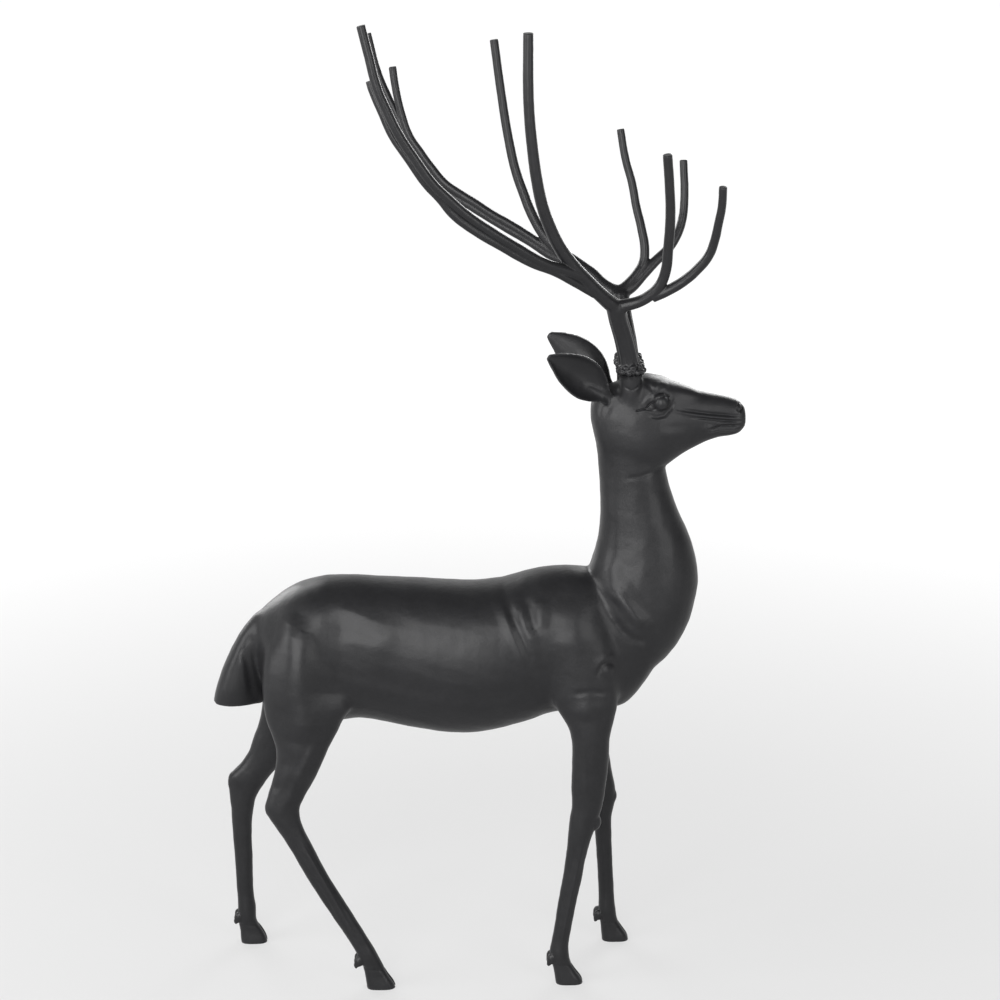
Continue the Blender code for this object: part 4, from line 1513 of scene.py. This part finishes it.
class Signal:
    """A socket whose values can be reckoned with."""

    def __init__(self, graph: "Graph", socket: bpy.types.NodeSocket) -> None:
        """Wrap a socket of a graph."""
        self.graph = graph
        self.socket = socket

    def reckon(self, kind: str, first: Any, second: Any) -> "Signal":
        """One Math node.

        Args:
            kind: its operation.
            first: its first value or link.
            second: its second value or link.

        Returns:
            The node's result.
        """
        node = self.graph.node("ShaderNodeMath", {"operation": kind}, {0: first, 1: second})
        return Signal(self.graph, node.outputs[0])

    def __add__(self, other: Any) -> "Signal":
        """Sum."""
        return self.reckon("ADD", self, other)

    def __radd__(self, other: Any) -> "Signal":
        """Sum with a number first."""
        return self.reckon("ADD", other, self)

    def __sub__(self, other: Any) -> "Signal":
        """Difference."""
        return self.reckon("SUBTRACT", self, other)

    def __rsub__(self, other: Any) -> "Signal":
        """Difference from a number."""
        return self.reckon("SUBTRACT", other, self)

    def __mul__(self, other: Any) -> "Signal":
        """Product."""
        return self.reckon("MULTIPLY", self, other)

    def __rmul__(self, other: Any) -> "Signal":
        """Product with a number first."""
        return self.reckon("MULTIPLY", other, self)


class Graph:
    """The nodes of one material or of the surroundings."""

    def __init__(self, owner: bpy.types.Material | bpy.types.World) -> None:
        """Take over the owner's nodes."""
        owner.use_nodes = True
        self.tree = owner.node_tree

    @property
    def shader(self) -> bpy.types.Node:
        """The material's surface shader."""
        return self.tree.nodes["Principled BSDF"]

    def node(self, kind: str, settings: dict[str, Any], sockets: dict[Any, Any]) -> bpy.types.Node:
        """Add a node.

        Args:
            kind: its type.
            settings: its own values; "stops" are a ramp's places and colours.
            sockets: values or links of its inputs, by name or number.

        Returns:
            The node.
        """
        made = self.tree.nodes.new(kind)
        for key, value in settings.items():
            if key == "stops":
                self.set_stops(made.color_ramp, value)
            else:
                setattr(made, key, value)
        for key, value in sockets.items():
            self.feed(made.inputs[key], value)
        return made

    def feed(self, socket: bpy.types.NodeSocket, value: Any) -> None:
        """Link or set one input.

        Args:
            socket: the input.
            value: a Signal, a socket or a plain value.
        """
        if isinstance(value, Signal):
            value = value.socket
        if isinstance(value, bpy.types.NodeSocket):
            self.tree.links.new(value, socket)
        else:
            socket.default_value = value

    @staticmethod
    def set_stops(ramp: bpy.types.ColorRamp, stops: Iterable[tuple[float, float]]) -> None:
        """Give a ramp grey stops.

        Args:
            ramp: the ramp, with its two first stops.
            stops: place and value of each.
        """
        for index, (place, value) in enumerate(stops):
            stop = ramp.elements[index] if index < 2 else ramp.elements.new(place)
            stop.position = place
            stop.color = (value, value, value, 1)

    def signal(
        self, kind: str, settings: dict[str, Any], sockets: dict[Any, Any], out: Any = 0
    ) -> Signal:
        """Add a node and take one of its results.

        Args:
            kind: its type.
            settings: its own values.
            sockets: its inputs.
            out: name or number of the result.

        Returns:
            The result.
        """
        return Signal(self, self.node(kind, settings, sockets).outputs[out])


@dataclass(frozen=True)
class BlackLacquer:
    """Satin black lacquer over a metal casting.

    Clouds, brushing and grain are layers of noise: waves in a metre, how many finer layers, and
    how strong they are. A bump is its strength and its height in metres.
    """

    slot: str
    deep: tuple[float, float, float] = (0.0055, 0.0055, 0.0060)
    # A paler black that random clouds and mottle reach; sharp edges are pushed towards it as a
    # painted highlight.
    pale_mottle_and_edge_highlight: tuple[float, float, float] = (0.020, 0.020, 0.0215)
    sheen: float = 0.42
    cloud: Row = (22.0, 3.0, 0.55)
    brushing: Row = (160.0, 4.0, 0.6)
    grain: Row = (900.0, 2.0, 0.5)
    # Pointiness stops of the painted highlight on sharp edges.
    edge_highlight_stops: Path = ((0.505, 0.0), (0.56, 1.0))
    # Pointiness stops of the painted shade in creases and hollows.
    crease_shade_stops: Path = ((0.44, 1.0), (0.495, 0.0))
    cloud_tone: float = 0.30
    brush_tone: float = 0.25
    # How far sharp edges lighten the colour: a painted highlight.
    edge_highlight_tone: float = 0.35
    # How far creases and hollows darken the colour: a painted shade.
    crease_shade_tone: float = 0.2
    cloud_dull: float = 0.10
    brush_dull: float = 0.12
    pit_dull: float = 0.12
    edge_shine: float = 0.05
    soft_bump: tuple[float, float] = (0.4, 0.0008)
    fine_bump: tuple[float, float] = (0.30, 0.0002)
    gloss: float = 0.18
    coat: float = 0.06
    coat_rough: float = 0.22

    def material(self) -> bpy.types.Material:
        """Make the paint.

        Returns:
            The material.
        """
        made = bpy.data.materials.new(self.slot)
        graph = Graph(made)
        spot = graph.node("ShaderNodeTexCoord", {}, {}).outputs["Object"]
        cloud = self.noise(graph, spot, self.cloud)
        mottle = self.noise(graph, spot, self.brushing)
        grain = self.noise(graph, spot, self.grain)
        point = graph.node("ShaderNodeNewGeometry", {}, {}).outputs["Pointiness"]
        # Sharp edges, read from pointiness, are painted lighter: a painted highlight.
        edge = graph.signal("ShaderNodeValToRGB", {"stops": self.edge_highlight_stops}, {"Fac": point})
        # Creases and hollows, read from pointiness, are painted darker: a painted shade.
        crease_shade = graph.signal("ShaderNodeValToRGB", {"stops": self.crease_shade_stops}, {"Fac": point})
        tone = cloud * self.cloud_tone + mottle * self.brush_tone
        # Edges lighten the colour as a painted highlight and creases darken it as a painted shade.
        tone = tone + edge * self.edge_highlight_tone - crease_shade * self.crease_shade_tone
        colour = graph.node(
            "ShaderNodeMix",
            {"data_type": "RGBA", "clamp_factor": True},
            {"Factor": tone, MIX_A: (*self.deep, 1), MIX_B: (*self.pale_mottle_and_edge_highlight, 1)},
        )
        graph.feed(graph.shader.inputs["Base Color"], colour.outputs[MIX_RESULT])
        rough = (cloud - 0.5) * self.cloud_dull + (mottle - 0.5) * self.brush_dull + self.sheen
        rough = rough + crease_shade * self.pit_dull - edge * self.edge_shine
        graph.feed(graph.shader.inputs["Roughness"], rough)
        strength, height = self.soft_bump
        soft = graph.node(
            "ShaderNodeBump", {}, {"Strength": strength, "Distance": height, "Height": mottle}
        )
        strength, height = self.fine_bump
        fine = graph.node(
            "ShaderNodeBump",
            {},
            {
                "Strength": strength,
                "Distance": height,
                "Height": grain,
                "Normal": soft.outputs[0],
            },
        )
        graph.feed(graph.shader.inputs["Normal"], fine.outputs[0])
        graph.shader.inputs["Specular IOR Level"].default_value = self.gloss
        graph.shader.inputs["Coat Weight"].default_value = self.coat
        graph.shader.inputs["Coat Roughness"].default_value = self.coat_rough
        return made

    @staticmethod
    def noise(graph: Graph, spot: bpy.types.NodeSocket, layer: Row) -> Signal:
        """One layer of noise.

        Args:
            graph: the material's nodes.
            spot: where the surface is.
            layer: waves in a metre, how many finer layers it has, and how strong they are.

        Returns:
            Its value.
        """
        scale, detail, rough = layer
        return graph.signal(
            "ShaderNodeTexNoise",
            {},
            {"Vector": spot, "Scale": scale, "Detail": detail, "Roughness": rough},
            "Fac",
        )

    def dress(self, item: bpy.types.Object) -> None:
        """Paint an object."""
        item.data.materials.clear()
        item.data.materials.append(self.material())


@dataclass(frozen=True)
class Lamp:
    """A soft square lamp: place, aim, width, height and strength."""

    name: str
    place: Row
    aim: Row
    width: float
    height: float
    watts: float

    def hang(self) -> None:
        """Put the lamp in the scene."""
        data = bpy.data.lights.new(self.name, "AREA")
        data.shape = "RECTANGLE"
        data.size = self.width
        data.size_y = self.height
        data.energy = self.watts
        item = bpy.data.objects.new(self.name, data)
        item.location = self.place
        way = Vector(self.aim) - Vector(self.place)
        item.rotation_euler = way.to_track_quat("-Z", "Y").to_euler()
        bpy.context.scene.collection.objects.link(item)


@dataclass(frozen=True)
class Studio:
    """A white room with soft lamps, and the camera."""

    aim: Row = (0.0297, -0.0046, 0.6183)
    distance: float = 3.35
    elevation: float = 17.0
    yaw: float = -1.5
    lens: float = 99.0
    sensor: float = 36.0
    floor_size: float = 40.0
    floor_cells: int = 8
    floor_base: float = 0.1
    floor_rough: float = 0.9
    # Glow of the floor near the stag and far off, and the distances over which it rises between
    # them; the dimmer glow near the stag is a painted shadow round its feet.
    floor_glow_in_painted_shadow: float = 0.58
    floor_far: float = 0.95
    painted_shadow_reach: tuple[float, float] = (0.3, 3.2)
    backdrop: float = 1.1
    gloom: float = 0.18
    behind_edge: tuple[float, float] = (0.05, 0.6)
    ceiling_edge: tuple[float, float] = (0.45, 0.85)
    lamps: tuple[Lamp, ...] = (
        Lamp("lamp_front", (-0.85, -3.0, 1.6), (-0.1, 0, 0.6), 2.1, 2.7, 158),
        Lamp("lamp_left", (-2.5, -0.9, 1.4), (-0.25, 0, 0.45), 1.5, 2.2, 72),
        Lamp("lamp_right", (1.95, -2.3, 1.4), (0.15, 0, 0.55), 1.3, 2.0, 44),
        Lamp("lamp_back", (-1.7, 2.5, 1.7), (0, 0, 0.6), 1.4, 2.0, 52),
        Lamp("lamp_rear", (1.4, 2.9, 1.6), (0, 0, 0.6), 1.3, 2.0, 52),
    )

    def build(self) -> None:
        """Set up floor, sky, lamps and camera."""
        self.lay_floor()
        self.light_sky()
        for lamp in self.lamps:
            lamp.hang()
        self.set_camera()
        bpy.context.scene.view_settings.view_transform = "Standard"

    def lay_floor(self) -> None:
        """Lay the pale floor, whose glow is dimmed near the stag as a painted shadow round its
        feet.
        """
        bm = bmesh.new()
        cells = self.floor_cells
        bmesh.ops.create_grid(bm, x_segments=cells, y_segments=cells, size=self.floor_size / 2)
        mesh = bpy.data.meshes.new("floor")
        bm.to_mesh(mesh)
        bm.free()
        floor = bpy.data.objects.new("floor", mesh)
        bpy.context.scene.collection.objects.link(floor)
        paint = bpy.data.materials.new("white_floor")
        graph = Graph(paint)
        shader = graph.shader
        spot = graph.node("ShaderNodeTexCoord", {}, {}).outputs["Object"]
        away = graph.node("ShaderNodeVectorMath", {"operation": "LENGTH"}, {0: spot})
        # The glow dims towards the stag: a painted shadow round its feet.
        rise = self.ease(graph, away.outputs["Value"], *self.painted_shadow_reach)
        glow = rise * (self.floor_far - self.floor_glow_in_painted_shadow) + self.floor_glow_in_painted_shadow
        floor_glow_with_painted_shadow = graph.node("ShaderNodeCombineColor", {}, dict.fromkeys((0, 1, 2), glow))
        shader.inputs["Base Color"].default_value = (*[self.floor_base] * 3, 1)
        shader.inputs["Roughness"].default_value = self.floor_rough
        graph.feed(shader.inputs["Emission Color"], floor_glow_with_painted_shadow.outputs[0])
        shader.inputs["Emission Strength"].default_value = 1.0
        mesh.materials.append(paint)

    def light_sky(self) -> None:
        """White all round to the eye; it lights the stag from behind and is dim in front."""
        world = bpy.data.worlds.new("white_room")
        bpy.context.scene.world = world
        graph = Graph(world)
        way = graph.node("ShaderNodeTexCoord", {}, {}).outputs["Generated"]
        parts = graph.node("ShaderNodeSeparateXYZ", {}, {0: way})
        behind = self.ease(graph, parts.outputs["Y"], *self.behind_edge)
        low = 1 - self.ease(graph, parts.outputs["Z"], *self.ceiling_edge)
        seen = graph.signal("ShaderNodeLightPath", {}, {}, "Is Camera Ray")
        glow = behind * low * (self.backdrop - self.gloom) + self.gloom
        strength = seen + (1 - seen) * glow
        graph.feed(self.background(world).inputs["Strength"], strength)
        self.background(world).inputs["Color"].default_value = (1, 1, 1, 1)

    @staticmethod
    def background(world: bpy.types.World) -> bpy.types.Node:
        """The node that makes the surroundings shine."""
        return world.node_tree.nodes["Background"]

    @staticmethod
    def ease(graph: Graph, value: bpy.types.NodeSocket, low: float, high: float) -> Signal:
        """A smooth rise from nought at low to one at high.

        Args:
            graph: the nodes it belongs to.
            value: what it reads.
            low: where it starts.
            high: where it ends.

        Returns:
            The rise.
        """
        return graph.signal(
            "ShaderNodeMapRange",
            {"interpolation_type": "SMOOTHSTEP"},
            {"Value": value, "From Min": low, "From Max": high},
        )

    def set_camera(self) -> None:
        """Put the camera at the viewing angle."""
        tilt = math.radians(self.elevation)
        turn = math.radians(self.yaw)
        level = math.cos(tilt)
        back = Vector((math.sin(turn) * level, -math.cos(turn) * level, math.sin(tilt)))
        data = bpy.data.cameras.new("camera")
        data.lens = self.lens
        data.sensor_width = self.sensor
        camera = bpy.data.objects.new("camera", data)
        camera.location = Vector(self.aim) + back * self.distance
        camera.rotation_euler = (math.radians(90) - tilt, 0, turn)
        bpy.context.scene.collection.objects.link(camera)
        bpy.context.scene.camera = camera


def seat_piece(item: bpy.types.Object, node: str, finish: BlackLacquer) -> None:
    """Dress a piece and tie it to the frame.

    Args:
        item: the piece.
        node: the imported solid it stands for.
        finish: its paint.
    """
    finish.dress(item)
    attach(item, "root")
    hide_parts(node)
    LOG.info("%s: %d faces, stands for %s", item.name, len(item.data.polygons), node)


def main() -> None:
    """Build the studio and the stag."""
    logging.basicConfig(level=logging.INFO, format="%(message)s")
    Studio().build()
    seat_piece(Body().build(), "body", BlackLacquer("black_lacquer_body"))
    for antler in (RIGHT_ANTLER, LEFT_ANTLER):
        finish = BlackLacquer(f"black_lacquer_{antler.node}", sheen=0.34)
        seat_piece(antler.build(), antler.node, finish)


if __name__ == "__main__":
    main()
